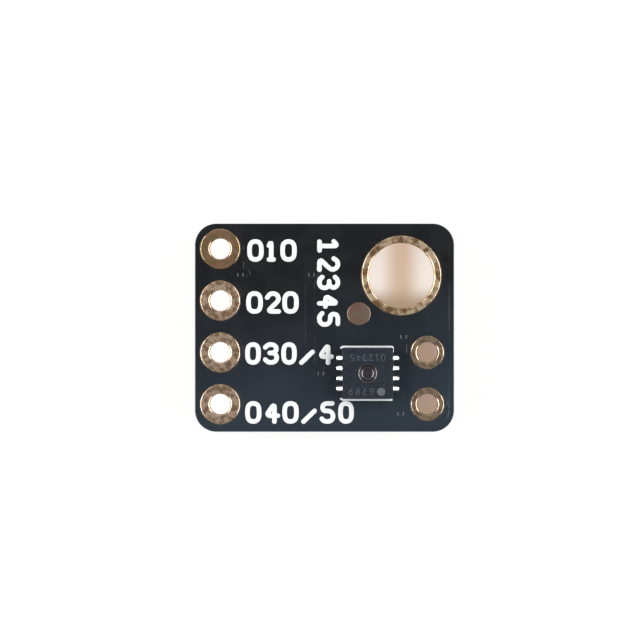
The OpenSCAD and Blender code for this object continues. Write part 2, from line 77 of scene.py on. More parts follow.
class Tree:
    """A node tree with one short call for adding a node and joining its inputs."""

    def __init__(self, tree: bpy.types.NodeTree) -> None:
        """Work in the given node tree."""
        self.tree = tree

    def add(self, kind: str, inputs: dict | None = None, **settings: object) -> bpy.types.Node:
        """Add one node.

        Args:
            kind: Blender's name of the node type.
            inputs: values or sockets by input name or number.
            settings: attributes of the node itself.

        Returns:
            The new node.
        """
        node = self.tree.nodes.new(kind)
        for key, value in settings.items():
            setattr(node, key, value)
        for key, value in (inputs or {}).items():
            if isinstance(value, bpy.types.NodeSocket):
                self.tree.links.new(value, node.inputs[key])
            else:
                node.inputs[key].default_value = value
        return node

    def group(self, group: bpy.types.NodeTree, inputs: dict) -> bpy.types.Node:
        """Place a node group with its own values."""
        return self.add("ShaderNodeGroup", inputs, node_tree=group)

    def math(self, operation: str, *values: object) -> bpy.types.NodeSocket:
        """Add a math node and return its result."""
        node = self.add("ShaderNodeMath", dict(enumerate(values)), operation=operation)
        return node.outputs[0]

    def ramp(self, value: object, low: object, high: object) -> bpy.types.NodeSocket:
        """A smooth rise from 0 at low to 1 at high."""
        limits = {"Value": value, "From Min": low, "From Max": high}
        return self.add("ShaderNodeMapRange", limits, interpolation_type="SMOOTHSTEP").outputs[0]

    def noise(
        self, place: object, scale: object, detail: float = 3.0, rough: float = 0.55,
    ) -> bpy.types.NodeSocket:
        """A noise value between 0 and 1 at each place."""
        inputs = {"Vector": place, "Scale": scale, "Detail": detail, "Roughness": rough}
        return self.add("ShaderNodeTexNoise", inputs).outputs[0]

    def axis_distance(self, place: bpy.types.NodeSocket, x: float, y: float) -> bpy.types.NodeSocket:
        """Distance of each place from an upright axis.

        Args:
            place: the places.
            x: X of the axis, in metres.
            y: Y of the axis.

        Returns:
            The distance.
        """
        aside = self.add("ShaderNodeVectorMath", {0: place, 1: (x, y, 0.0)}, operation="SUBTRACT")
        level = {0: aside.outputs[0], 1: (1.0, 1.0, 0.0)}
        flat = self.add("ShaderNodeVectorMath", level, operation="MULTIPLY")
        length = self.add("ShaderNodeVectorMath", {0: flat.outputs[0]}, operation="LENGTH")
        return length.outputs["Value"]

    def blend(self, share: object, first: object, second: object) -> bpy.types.NodeSocket:
        """Mix two colours.

        Args:
            share: 0 where the first colour shows and 1 where the second one does.
            first: a colour or a socket.
            second: the other colour.

        Returns:
            The mixed colour.
        """
        colours = [(*c, 1.0) if isinstance(c, tuple) else c for c in (first, second)]
        sockets = {0: share, MIX_FIRST: colours[0], MIX_SECOND: colours[1]}
        return self.add("ShaderNodeMix", sockets, data_type="RGBA").outputs[MIX_RESULT]


# Blender's socket for each type of usual value, and the usual values of colours
SOCKETS = {float: "NodeSocketFloat", tuple: "NodeSocketColor", type(None): "NodeSocketVector"}
GREY = (0.5, 0.5, 0.5, 1.0)
WHITE = (1.0, 1.0, 1.0, 1.0)


def new_group(name: str, inputs: dict, outputs: dict[str, type]) -> tuple[Tree, dict, bpy.types.Node]:
    """Start a shader node group.

    Args:
        name: the group's name.
        inputs: input names with their usual values, or None for a vector.
        outputs: output names with float or tuple for a value or a colour.

    Returns:
        The group's tree, its input sockets by name, and its output node.
    """
    kit = Tree(bpy.data.node_groups.new(name, "ShaderNodeTree"))
    for label, usual in inputs.items():
        kit.tree.interface.new_socket(label, in_out="INPUT", socket_type=SOCKETS[type(usual)])
    for label, kind in outputs.items():
        kit.tree.interface.new_socket(label, in_out="OUTPUT", socket_type=SOCKETS[kind])
    source = kit.add("NodeGroupInput")
    for label, usual in inputs.items():
        if usual is not None:
            kit.tree.interface.items_tree[label].default_value = usual
    return kit, {label: source.outputs[label] for label in inputs}, kit.add("NodeGroupOutput")


def mottle_group() -> bpy.types.NodeTree:
    """Two colours that run into each other in soft patches, with the mask of the second one.

    Returns:
        The node group.
    """
    inputs = {"Place": None, "Scale": 1000.0, "Start": 0.4, "End": 0.6, "First": GREY, "Second": GREY}
    kit, given, out = new_group("mottled_colour", inputs, {"Colour": tuple, "Mask": float})
    mask = kit.ramp(kit.noise(given["Place"], given["Scale"]), given["Start"], given["End"])
    colour = kit.blend(mask, given["First"], given["Second"])
    kit.tree.links.new(colour, out.inputs["Colour"])
    kit.tree.links.new(mask, out.inputs["Mask"])
    return kit.tree


def relief_group() -> bpy.types.NodeTree:
    """A height between 0 and 1: a slow swell with a share of fine grain on it.

    Returns:
        The node group.
    """
    inputs = {"Place": None, "Swell": 1000.0, "Grain": 10000.0, "Share": 0.3}
    kit, given, out = new_group("fine_relief", inputs, {"Height": float})
    slow = kit.noise(given["Place"], given["Swell"], detail=1.0)
    fine = kit.noise(given["Place"], given["Grain"], detail=2.0)
    rest = kit.math("SUBTRACT", 1.0, given["Share"])
    height = kit.math("ADD", kit.math("MULTIPLY", slow, rest), kit.math("MULTIPLY", fine, given["Share"]))
    kit.tree.links.new(height, out.inputs["Height"])
    return kit.tree


def speck_group() -> bpy.types.NodeTree:
    """A mask of scattered round specks: a share of the cells of a Voronoi pattern holds one each.

    A speck is full inside its core, which is a share of its radius, and fades out from there.

    Returns:
        The node group.
    """
    core = 0.4
    inputs = {"Place": None, "Scale": 1000.0, "Share": 0.1, "Radius": 0.1}
    kit, given, out = new_group("scattered_specks", inputs, {"Mask": float})
    cells = kit.add("ShaderNodeTexVoronoi", {"Vector": given["Place"], "Scale": given["Scale"]})
    drawn = kit.add("ShaderNodeSeparateColor", {0: cells.outputs["Color"]}).outputs[0]
    chosen = kit.math("LESS_THAN", drawn, given["Share"])
    edge = kit.math("MULTIPLY", given["Radius"], core)
    near = kit.math("SUBTRACT", 1.0, kit.ramp(cells.outputs["Distance"], edge, given["Radius"]))
    kit.tree.links.new(kit.math("MULTIPLY", chosen, near), out.inputs["Mask"])
    return kit.tree


def cloth_group() -> bpy.types.NodeTree:
    """The layers of glass cloth that show on a cut edge of laminate: wavy bands stacked along Z.

    A band starts to show where the sine of its height passes start, and is full at full.

    Returns:
        The node group.
    """
    wave_length = 0.45 * MM
    start, full = -0.2, 0.9
    inputs = {"Place": None, "Layer": 0.0002, "Waviness": 0.3}
    kit, given, out = new_group("glass_cloth_edge", inputs, {"Mask": float})
    parts = kit.add("ShaderNodeSeparateXYZ", {0: given["Place"]})
    wander = kit.noise(given["Place"], 1.0 / wave_length, detail=1.0)
    waves = kit.math("MULTIPLY", wander, given["Waviness"])
    turns = kit.math("ADD", kit.math("DIVIDE", parts.outputs[2], given["Layer"]), waves)
    band = kit.math("SINE", kit.math("MULTIPLY", turns, tau))
    kit.tree.links.new(kit.ramp(band, start, full), out.inputs["Mask"])
    return kit.tree


MOTTLE = mottle_group()
RELIEF = relief_group()
SPECKS = speck_group()
CLOTH = cloth_group()


# Finishes


@dataclass(frozen=True)
class Finish:
    """A surface finish: two mottled colours, their roughness, and a fine relief.

    Colours are linear. patch, swell and grain are the sizes of the mottled patches and of the two
    kinds of relief, and height is how far the relief stands, all in metres. cover holds the noise
    values at which the second colour starts and is full, and rough the roughness of each colour.
    """

    name: str
    slot: str
    first: Colour
    second: Colour
    patch: float = 0.4 * MM
    cover: tuple[float, float] = (0.42, 0.6)
    rough: tuple[float, float] = (0.4, 0.5)
    metallic: float = 0.0
    specular: float = 0.5
    ior: float = 1.5
    coat: float = 0.0
    swell: float = 0.35 * MM
    grain: float = 0.03 * MM
    grain_share: float = 0.4
    height: float = 0.002 * MM

    def paint(self, kit: Tree, place: bpy.types.NodeSocket) -> tuple:
        """Lay the two colours out in patches.

        Args:
            kit: the material's node tree.
            place: Object coordinates.

        Returns:
            The colour, and the mask of the second colour.
        """
        values = {"Place": place, "Scale": 1.0 / self.patch, "Start": self.cover[0], "End": self.cover[1]}
        values |= {"First": (*self.first, 1.0), "Second": (*self.second, 1.0)}
        mottled = kit.group(MOTTLE, values)
        return mottled.outputs["Colour"], mottled.outputs["Mask"]

    def roughness(self, kit: Tree, mask: bpy.types.NodeSocket) -> bpy.types.NodeSocket:
        """The roughness, which follows the mask of the second colour."""
        low, high = self.rough
        return kit.math("ADD", kit.math("MULTIPLY", mask, high - low), low)

    def material(self) -> bpy.types.Material:
        """The finish as a material, made once and then shared.

        Returns:
            The material.
        """
        made = bpy.data.materials.get(self.name)
        if made:
            return made
        made = bpy.data.materials.new(self.name)
        made.use_nodes = True
        made.node_tree.nodes.clear()
        kit = Tree(made.node_tree)
        place = kit.add("ShaderNodeTexCoord").outputs["Object"]
        colour, mask = self.paint(kit, place)
        sizes = {"Swell": 1.0 / self.swell, "Grain": 1.0 / self.grain, "Share": self.grain_share}
        relief = kit.group(RELIEF, {"Place": place, **sizes}).outputs["Height"]
        bump = kit.add("ShaderNodeBump", {"Height": relief, "Distance": self.height})
        shader = kit.add(
            "ShaderNodeBsdfPrincipled",
            {
                "Base Color": colour,
                "Roughness": self.roughness(kit, mask),
                "Metallic": self.metallic,
                "Specular IOR Level": self.specular,
                "IOR": self.ior,
                "Coat Weight": self.coat,
                "Normal": bump.outputs[0],
            },
        )
        kit.add("ShaderNodeOutputMaterial", {0: shader.outputs[0]})
        return made


@dataclass(frozen=True)
class SpeckledFinish(Finish):
    """A finish with scattered specks of a third colour on it, such as dust or filler grains."""

    speck: Colour = (0.3, 0.3, 0.3)
    speck_cell: float = 0.2 * MM
    speck_share: float = 0.1
    speck_radius: float = 0.1

    def paint(self, kit: Tree, place: bpy.types.NodeSocket) -> tuple:
        """Lay the specks over the mottled colour.

        Args:
            kit: the material's node tree.
            place: Object coordinates.

        Returns:
            The colour, and the mask of the second colour.
        """
        colour, mask = super().paint(kit, place)
        values = {"Place": place, "Scale": 1.0 / self.speck_cell}
        values |= {"Share": self.speck_share, "Radius": self.speck_radius}
        dots = kit.group(SPECKS, values).outputs["Mask"]
        return kit.blend(dots, colour, self.speck), mask


@dataclass(frozen=True)
class MaskFinish(SpeckledFinish):
    """Solder mask with painted light: paler and cooler from the back edge of the board to the front.

    slant is how much of a step to the right counts as a step to the front. drift is how far the
    blend wanders, in patches of drift_size.
    """

    # Colour of the painted light at the front edge, then where that light starts and where it is full
    pale: Colour = (0.03, 0.04, 0.05)
    light_start_y: float = 2.4 * MM
    light_full_y: float = -4.6 * MM
    slant: float = 0.15
    drift: float = 0.35
    drift_size: float = 3.0 * MM

    def paint(self, kit: Tree, place: bpy.types.NodeSocket) -> tuple:
        """Blend the speckled colour along Y into the pale one, which is painted light.

        Args:
            kit: the material's node tree.
            place: Object coordinates.

        Returns:
            The colour, and the mask of the second colour.
        """
        colour, mask = super().paint(kit, place)
        x, y, _ = kit.add("ShaderNodeSeparateXYZ", {0: place}).outputs
        y = kit.math("SUBTRACT", y, kit.math("MULTIPLY", x, self.slant))
        span = self.light_start_y - self.light_full_y
        share = kit.math("DIVIDE", kit.math("SUBTRACT", self.light_start_y, y), span)
        wander = kit.math("SUBTRACT", kit.noise(place, 1.0 / self.drift_size, detail=1.0), 0.5)
        share = kit.math("ADD", share, kit.math("MULTIPLY", wander, self.drift))
        share = kit.add("ShaderNodeClamp", {0: share}).outputs[0]
        # Painted light: the mask turns pale towards the front edge
        return kit.blend(share, colour, self.pale), mask


@dataclass(frozen=True)
class FoilFinish(Finish):
    """Copper foil that is gold plated where the mask leaves it open, close round the pads.

    pads holds the X, Y and radius of the circle round each pad.
    """

    gold: Colour = (0.74, 0.46, 0.29)
    pads: tuple[tuple[float, float, float], ...] = ()

    def paint(self, kit: Tree, place: bpy.types.NodeSocket) -> tuple:
        """Lay gold over the copper colour inside each pad's circle.

        Args:
            kit: the material's node tree.
            place: Object coordinates.

        Returns:
            The colour, and the mask of the second colour.
        """
        colour, mask = super().paint(kit, place)
        for x, y, radius in self.pads:
            near = kit.math("LESS_THAN", kit.axis_distance(place, x, y), radius)
            colour = kit.blend(near, colour, self.gold)
        return colour, mask


@dataclass(frozen=True)
class ClothFinish(Finish):
    """Laminate: resin with the bands of its glass cloth showing where it is cut.

    layer is the height of one layer of cloth, and show is how strongly a band shows.
    """

    glass: Colour = (0.6, 0.58, 0.4)
    layer: float = 0.19 * MM
    show: float = 0.55

    def paint(self, kit: Tree, place: bpy.types.NodeSocket) -> tuple:
        """Lay pale bands of glass cloth over the mottled resin.

        Args:
            kit: the material's node tree.
            place: Object coordinates.

        Returns:
            The colour, and the mask of the second colour.
        """
        colour, mask = super().paint(kit, place)
        bands = kit.group(CLOTH, {"Place": place, "Layer": self.layer}).outputs["Mask"]
        return kit.blend(kit.math("MULTIPLY", bands, self.show), colour, self.glass), mask


# The mask's pale colour is painted light that grows towards the front edge
MASK = MaskFinish(
    "black_solder_mask", "solder_mask", (0.0055, 0.0065, 0.008), (0.0078, 0.0088, 0.0104),
    patch=1.6 * MM, rough=(0.18, 0.25), specular=0.45, swell=0.6 * MM, grain=0.05 * MM,
    grain_share=0.1, height=0.0015 * MM, speck=(0.05, 0.05, 0.055), speck_cell=0.3 * MM,
    speck_share=0.04, speck_radius=0.06, pale=(0.0185, 0.027, 0.037),
)
GOLD = Finish(
    "gold_over_nickel", "gold_finish", (0.82, 0.48, 0.31), (0.5, 0.36, 0.17),
    patch=0.24 * MM, cover=(0.42, 0.62), rough=(0.17, 0.25), metallic=1.0, swell=0.3 * MM,
    grain=0.045 * MM, grain_share=0.2, height=0.004 * MM,
)
PALE_GOLD = replace(
    GOLD, name="pale_gold_over_nickel", first=(1.0, 0.74, 0.54), second=(0.62, 0.4, 0.26),
    rough=(0.29, 0.2),
)
GREY_GOLD = replace(
    GOLD, name="greyish_gold_over_nickel", first=(0.8, 0.6, 0.42), second=(0.44, 0.31, 0.22),
)
MOTTLED_GOLD = replace(
    GOLD, name="mottled_gold_over_nickel", first=(1.0, 0.75, 0.54), second=(0.64, 0.4, 0.25),
    patch=0.22 * MM, cover=(0.38, 0.64), rough=(0.34, 0.22), height=0.006 * MM,
)
PATCHY_GOLD = Finish(
    "patchy_gold_over_nickel", "gold_finish", (1.0, 0.77, 0.52), (0.54, 0.31, 0.16),
    patch=0.36 * MM, cover=(0.4, 0.66), rough=(0.36, 0.2), metallic=1.0, swell=0.4 * MM,
    grain=0.06 * MM, grain_share=0.15, height=0.006 * MM,
)
DULL_GOLD = Finish(
    "dull_gold_over_nickel", "gold_finish", (0.5, 0.29, 0.21), (0.4, 0.3, 0.23),
    patch=0.6 * MM, rough=(0.28, 0.34), metallic=1.0, swell=0.4 * MM, height=0.001 * MM,
)
COPPER = FoilFinish(
    "copper_foil", "copper", (0.7, 0.33, 0.19), (0.5, 0.2, 0.11), patch=0.5 * MM,
    rough=(0.25, 0.4), metallic=1.0,
)
SOLDER = Finish(
    "bright_solder", "solder", (0.86, 0.86, 0.85), (0.76, 0.76, 0.76), patch=0.12 * MM,
    rough=(0.12, 0.2), metallic=1.0, swell=0.15 * MM, grain_share=0.1, height=0.0012 * MM,
)
TIN = Finish(
    "matte_tin", "tinned_metal", (0.7, 0.7, 0.68), (0.56, 0.55, 0.53), patch=0.1 * MM,
    rough=(0.32, 0.46), metallic=1.0, grain=0.012 * MM, height=0.001 * MM,
)
# A darker copy of the tin for the chip's lands: painted shade, so that they stay dark beside the joints
SHADED_LAND_TIN = replace(TIN, name="land_tin_painted_dark", first=(0.22, 0.22, 0.22), second=(0.15, 0.15, 0.155))
INK = Finish(
    "white_ink", "ink", (0.75, 0.76, 0.77), (0.7, 0.72, 0.74), patch=0.25 * MM,
    cover=(0.5, 0.75), rough=(0.5, 0.62), grain=0.02 * MM, height=0.0015 * MM,
)
EPOXY = SpeckledFinish(
    "moulded_epoxy", "chip_case", (0.0075, 0.012, 0.0205), (0.0115, 0.0165, 0.0245), patch=0.12 * MM,
    rough=(0.4, 0.5), specular=0.4, swell=0.1 * MM, grain=0.018 * MM, grain_share=0.6,
    height=0.0016 * MM, speck=(0.075, 0.078, 0.08), speck_cell=0.05 * MM, speck_share=0.12,
    speck_radius=0.16,
)
PORT_GLOSS = Finish(
    "polished_epoxy", "chip_case", (0.009, 0.009, 0.011), (0.012, 0.012, 0.014), patch=0.15 * MM,
    rough=(0.12, 0.16), specular=1.0, ior=1.9, height=0.0002 * MM,
)
PORT_RIM = replace(PORT_GLOSS, name="smooth_epoxy", rough=(0.22, 0.28), ior=1.62)
LASER_MARK = Finish(
    "laser_mark", "chip_case", (0.062, 0.067, 0.073), (0.034, 0.037, 0.042), patch=0.06 * MM,
    rough=(0.6, 0.75), grain=0.012 * MM, height=0.001 * MM,
)
DOT_MARK = Finish(
    "laser_dot", "chip_case", (0.092, 0.1, 0.111), (0.072, 0.08, 0.09), patch=0.12 * MM,
    rough=(0.55, 0.65), grain=0.012 * MM, height=0.001 * MM,
)
SILICON = Finish(
    "polished_die", "silicon", (0.03, 0.022, 0.032), (0.022, 0.018, 0.025), patch=0.2 * MM,
    rough=(0.15, 0.22), ior=2.1, height=0.0003 * MM,
)
FILM = Finish(
    "dark_polymer_film", "humidity_film", (0.045, 0.02, 0.032), (0.035, 0.016, 0.025), patch=0.15 * MM,
    rough=(0.2, 0.26), ior=1.9, height=0.0005 * MM,
)
ADHESIVE = Finish("die_adhesive", "glue", (0.6, 0.57, 0.48), (0.5, 0.47, 0.38), patch=0.1 * MM)
PADDLE = Finish(
    "plated_paddle", "paddle_copper", (0.7, 0.42, 0.28), (0.55, 0.3, 0.2), patch=0.2 * MM,
    rough=(0.25, 0.35), metallic=1.0,
)
LAMINATE = ClothFinish(
    "glass_laminate", "laminate", (0.34, 0.28, 0.12), (0.26, 0.2, 0.08), patch=0.3 * MM,
    rough=(0.55, 0.75), swell=0.12 * MM, grain=0.02 * MM, height=0.005 * MM,
)
ALUMINA = Finish(
    "white_alumina", "alumina", (0.72, 0.71, 0.67), (0.64, 0.63, 0.58), patch=0.1 * MM,
    rough=(0.45, 0.6), grain=0.015 * MM, height=0.002 * MM,
)
GLAZE = Finish(
    "black_glaze", "glaze", (0.014, 0.014, 0.016), (0.02, 0.02, 0.022), patch=0.2 * MM,
    rough=(0.22, 0.35), coat=0.3, swell=0.15 * MM, height=0.003 * MM,
)
CERAMIC = Finish(
    "fired_ceramic", "capacitor_ceramic", (0.38, 0.24, 0.13), (0.3, 0.18, 0.09), patch=0.09 * MM,
    rough=(0.4, 0.55), grain=0.015 * MM, height=0.0018 * MM,
)


# Meshes from arrays


# Angle in degrees above which an edge is sharp, and the reach that merges a CAD node's corners
SHARP = 40.0
WELD_REACH = 0.0001 * MM
# Least radius, in millimetres, of a skin that is turned about its own middle
AXIS = 0.0005


def outward(points: Array, faces: Sequence[Array]) -> list[Array]:
    """Turn all faces round if they enclose a negative volume.

    The volume is a sixth of the sum, over the triangles fanned from each face's first corner, of
    the triple product of the three corners.

    Args:
        points: corners, one row each.
        faces: arrays of corner numbers, each array with one face size.

    Returns:
        The arrays of faces, turned so that the normals point outwards.
    """
    volume = 0.0
    for group in faces:
        for k in range(1, group.shape[1] - 1):
            a, b, c = points[group[:, 0]], points[group[:, k]], points[group[:, k + 1]]
            volume += np.einsum("ij,ij->", a, np.cross(b, c))
    return [group[:, ::-1] if volume < 0 else group for group in faces]


def make_mesh(name: str, points: Array, faces: Sequence[Array], sharp: float) -> bpy.types.Mesh:
    """Put arrays into a mesh.

    Args:
        name: the mesh's name.
        points: corners in metres, one row each.
        faces: arrays of corner numbers, each array with one face size.
        sharp: angle in degrees above which an edge stays sharp.

    Returns:
        The mesh, smooth but for its sharp edges.
    """
    faces = [group for group in outward(points, faces) if len(group)]
    loops = np.concatenate([group.ravel() for group in faces])
    sizes = np.concatenate([np.full(len(group), group.shape[1]) for group in faces])
    mesh = bpy.data.meshes.new(name)
    mesh.vertices.add(len(points))
    mesh.vertices.foreach_set("co", np.asarray(points, np.float32).ravel())
    mesh.loops.add(len(loops))
    mesh.loops.foreach_set("vertex_index", loops.astype(np.int32))
    mesh.polygons.add(len(sizes))
    mesh.polygons.foreach_set("loop_start", (np.cumsum(sizes) - sizes).astype(np.int32))
    mesh.polygons.foreach_set("use_smooth", np.ones(len(sizes), bool))
    mesh.update(calc_edges=True)
    mesh.validate()
    mesh.set_sharp_from_angle(angle=radians(sharp))
    return mesh


def place_piece(
    name: str, points: Array, faces: Sequence[Array], finish: Finish, replaces: Sequence[str] = (),
    sharp: float = SHARP,
) -> bpy.types.Object:
    """Make one piece of the object and report it.

    Args:
        name: the piece's name.
        points: corners in metres.
        faces: arrays of corner numbers.
        finish: the finish it gets.
        replaces: the CAD nodes that it stands for.
        sharp: angle in degrees above which an edge stays sharp.

    Returns:
        The piece, riding on the board.
    """
    piece = bpy.data.objects.new(name, make_mesh(name, points, faces, sharp))
    bpy.context.scene.collection.objects.link(piece)
    piece.data.materials.append(finish.material())
    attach(piece, "root")
    if replaces:
        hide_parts(*replaces)
    LOG.info("%s: %d faces, %s", name, len(piece.data.polygons), finish.name)
    return piece


def dress_node(name: str, finish: Finish, bevel: float = 0.0) -> None:
    """Give a CAD node its finish, and rounded edges where it has a bevel.

    Args:
        name: the node's name.
        finish: the finish it gets.
        bevel: width of the rounded edges in metres, or 0 for none.
    """
    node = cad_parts[name]
    if not node.data.materials:
        node.data.materials.append(None)
    for slot in node.material_slots:
        slot.material = finish.material()
    if bevel:
        weld = node.modifiers.new("weld", "WELD")
        weld.merge_threshold = WELD_REACH
        edge = node.modifiers.new("edge", "BEVEL")
        edge.width = bevel
        edge.segments = 2
        edge.limit_method = "ANGLE"
        edge.angle_limit = radians(SHARP)
    LOG.info("%s: CAD node in %s", name, finish.name)


def grid_faces(rows: int, columns: int, close_rows: bool, close_columns: bool) -> Array:
    """Quads between neighbouring points of a grid.

    Args:
        rows: rows of points.
        columns: points in each row.
        close_rows: whether the last row joins the first.
        close_columns: whether the last point of each row joins its first.

    Returns:
        The corner numbers of each quad.
    """
    starts = np.arange(rows - (not close_rows)), np.arange(columns - (not close_columns))
    i, j = np.meshgrid(*starts, indexing="ij")
    k, m = (i + 1) % rows, (j + 1) % columns
    corners = [i * columns + j, i * columns + m, k * columns + m, k * columns + j]
    return np.stack(corners, axis=-1).reshape(-1, 4)


def lathe(profile: Array, centre: Sequence[float], steps: int) -> tuple[Array, list[Array]]:
    """A closed ring: a closed profile turned about a vertical axis.

    The point at profile place (r, z) and turn t is centre + (r cos t, r sin t), at height z.

    Args:
        profile: radius and height of each profile point, in order round the section.
        centre: X and Y of the axis.
        steps: points round the turn.

    Returns:
        Points and faces.
    """
    turn = np.linspace(0.0, tau, steps, endpoint=False)[:, None]
    x = centre[0] + profile[None, :, 0] * np.cos(turn)
    y = centre[1] + profile[None, :, 0] * np.sin(turn)
    z = np.broadcast_to(profile[None, :, 1], x.shape)
    points = np.stack([x, y, z], axis=-1).reshape(-1, 3)
    return points, [grid_faces(steps, len(profile), True, True)]


def arc(centre: Sequence[float], radius: float, start: float, end: float, steps: int = 8) -> Array:
    """Points on an arc about a centre, from one angle to the other, in degrees."""
    a = np.radians(np.linspace(start, end, steps))
    return np.stack([centre[0] + radius * np.cos(a), centre[1] + radius * np.sin(a)], axis=-1)


def between(top: Array, base: Array) -> tuple[Array, list[Array]]:
    """A closed skin over and under a grid: the top surface, the base surface and a rim of quads.

    Args:
        top: rows x columns x 3 points of the upper surface.
        base: the same grid of points on the lower surface.

    Returns:
        Points and faces.
    """
    rows, columns = top.shape[:2]
    sheet = grid_faces(rows, columns, False, False)
    ids = np.arange(rows * columns).reshape(rows, columns)
    rim = np.concatenate([ids[0, :-1], ids[:-1, -1], ids[-1, :0:-1], ids[:0:-1, 0]])
    ahead = np.roll(rim, -1)
    count = rows * columns
    wall = np.stack([ahead, rim, rim + count, ahead + count], axis=-1)
    points = np.concatenate([top.reshape(-1, 3), base.reshape(-1, 3)])
    return points, [sheet[:, ::-1], sheet + count, wall[:, ::-1]]


def joined(parts: Sequence[tuple[Array, list[Array]]]) -> tuple[Array, list[Array]]:
    """Several closed skins as one, each turned outwards by itself.

    Args:
        parts: points and faces of each skin.

    Returns:
        Points and faces of them all.
    """
    points, faces, start = [], [], 0
    for part_points, part_faces in parts:
        points.append(part_points)
        faces += [group + start for group in outward(part_points, part_faces)]
        start += len(part_points)
    return np.concatenate(points), faces


# Flat shapes, in millimetres


# Least points round a disc and along a rounded corner, and the least radius of such a corner
LEAST_ROUND = 24
LEAST_ARC = 5
LEAST_CORNER = 0.004
# Points nearer than this are one point, and triangles with a smaller double area are dropped
MERGE_REACH = 1e-6
LEAST_AREA = 1e-9
# Asks Blender's triangulation for triangles all over the hull of its points
WHOLE_HULL = 0


@dataclass(frozen=True)
class Disc:
    """A round shape on the board's plane, in millimetres."""

    x: float
    y: float
    radius: float

    def distance(self, at: Array) -> Array:
        """Distance from its edge, negative inside: distance from the centre less the radius."""
        return np.hypot(at[:, 0] - self.x, at[:, 1] - self.y) - self.radius

    def loop(self, grow: float, step: float = 0.045) -> Array:
        """Points round it.

        Args:
            grow: how much wider its radius is taken.
            step: rough distance between points.

        Returns:
            The points, anticlockwise.
        """
        steps = max(LEAST_ROUND, int(tau * self.radius / step))
        a = np.linspace(0.0, tau, steps, endpoint=False)
        r = self.radius + grow
        return np.stack([self.x + r * np.cos(a), self.y + r * np.sin(a)], axis=-1)


@dataclass(frozen=True)
class Pane:
    """A rectangle with rounded corners on the board's plane, in millimetres."""

    x: float
    y: float
    half_w: float
    half_d: float
    corner: float

    def distance(self, at: Array) -> Array:
        """Distance from its edge, negative inside.

        Past the rectangle shrunk by the corner radius it is the distance from that rectangle less
        the radius, and inside it is the larger of the two distances from the sides.

        Args:
            at: points, one row each.

        Returns:
            The distance of each point.
        """
        over_x = np.abs(at[:, 0] - self.x) - self.half_w + self.corner
        over_y = np.abs(at[:, 1] - self.y) - self.half_d + self.corner
        outside = np.hypot(np.maximum(over_x, 0.0), np.maximum(over_y, 0.0))
        return outside + np.minimum(np.maximum(over_x, over_y), 0.0) - self.corner

    def loop(self, grow: float, step: float = 0.06) -> Array:
        """Points round it, with arcs at the corners.

        Args:
            grow: how much further out each side is taken.
            step: rough distance between points.

        Returns:
            The points, anticlockwise.
        """
        r = max(self.corner + grow, LEAST_CORNER)
        w, d = self.half_w + grow - r, self.half_d + grow - r
        steps = max(LEAST_ARC, int(pi * r / 2 / step) + 2)
        corners = [(w, d, 0.0), (-w, d, 90.0), (-w, -d, 180.0), (w, -d, 270.0)]
        arcs = [arc((self.x + x, self.y + y), r, a, a + 90.0, steps) for x, y, a in corners]
        spans = [int(2 * half / step) for half in (w, d, w, d)]
        out = []
        for k, points in enumerate(arcs):
            ahead = arcs[(k + 1) % 4][0]
            t = np.linspace(0.0, 1.0, spans[k] + 2)[1:-1, None]
            out += [points, points[-1] * (1 - t) + ahead * t]
        return np.concatenate(out)


Shape = Disc | Pane


def nearest(shapes: Sequence[Shape], at: Array) -> Array:
    """Distance from the nearest of several shapes, negative inside one."""
    return np.min([shape.distance(at) for shape in shapes], axis=0)


def triangulate(
    loops: Sequence[Array], loose: Array, keep: Callable[[Array], Array],
) -> tuple[Array, Array]:
    """Flat triangles that keep closed loops as edges and pass through loose points.

    Args:
        loops: closed loops of points, in millimetres.
        loose: further points.
        keep: says of the triangles' centres which ones stay.

    Returns:
        Points and triangles, anticlockwise as seen from above.
    """
    starts = np.cumsum([0, *[len(loop) for loop in loops]])
    edges = []
    for start, loop in zip(starts, loops):
        ids = start + np.arange(len(loop))
        edges += np.stack([ids, np.roll(ids, -1)], axis=-1).tolist()
    given = [Vector(p) for p in np.concatenate([*loops, loose]).tolist()]
    found, _, faces, *_ = delaunay_2d_cdt(given, edges, [], WHOLE_HULL, MERGE_REACH)
    points = np.array([tuple(p) for p in found])
    triangles = np.array(faces)
    a, b, c = (points[triangles[:, k]] for k in range(3))
    area = (b[:, 0] - a[:, 0]) * (c[:, 1] - a[:, 1]) - (b[:, 1] - a[:, 1]) * (c[:, 0] - a[:, 0])
    triangles[area < 0] = triangles[area < 0][:, ::-1]
    stay = keep((a + b + c) / 3) & (np.abs(area) > LEAST_AREA)
    used, renumbered = np.unique(triangles[stay], return_inverse=True)
    return points[used], renumbered.reshape(-1, 3)


def thick_plate(flat: Array, triangles: Array, top: Array, low: Array) -> tuple[Array, list[Array]]:
    """A closed plate over flat triangles, with its own top and low height at each point.

    Args:
        flat: points in millimetres.
        triangles: anticlockwise triangles.
        top: height of the upper surface at each point, in millimetres.
        low: height of the lower surface.

    Returns:
        Points in metres and faces, with walls along every open edge.
    """
    edges = np.concatenate([triangles[:, [0, 1]], triangles[:, [1, 2]], triangles[:, [2, 0]]])
    key = np.sort(edges, axis=1)
    _, first, count = np.unique(key, axis=0, return_index=True, return_counts=True)
    rim = edges[first[count == 1]]
    n = len(flat)
    wall = np.stack([rim[:, 1], rim[:, 0], rim[:, 0] + n, rim[:, 1] + n], axis=-1)
    points = np.concatenate([np.column_stack([flat, top]), np.column_stack([flat, low])]) * MM
    return points, [triangles, triangles[:, ::-1] + n, wall]


# What the frame says


# Points handled at once, and how far apart two equal coordinates of CAD corners may be
CHUNK = 2000
SAME = 0.001
# Decimals of a millimetre that are kept of an outline's corners, and of a land's
OUTLINE_DIGITS = 4
LAND_DIGITS = 3
# Stands for the rise of a level edge, which no ray crosses
TINY = 1e-12


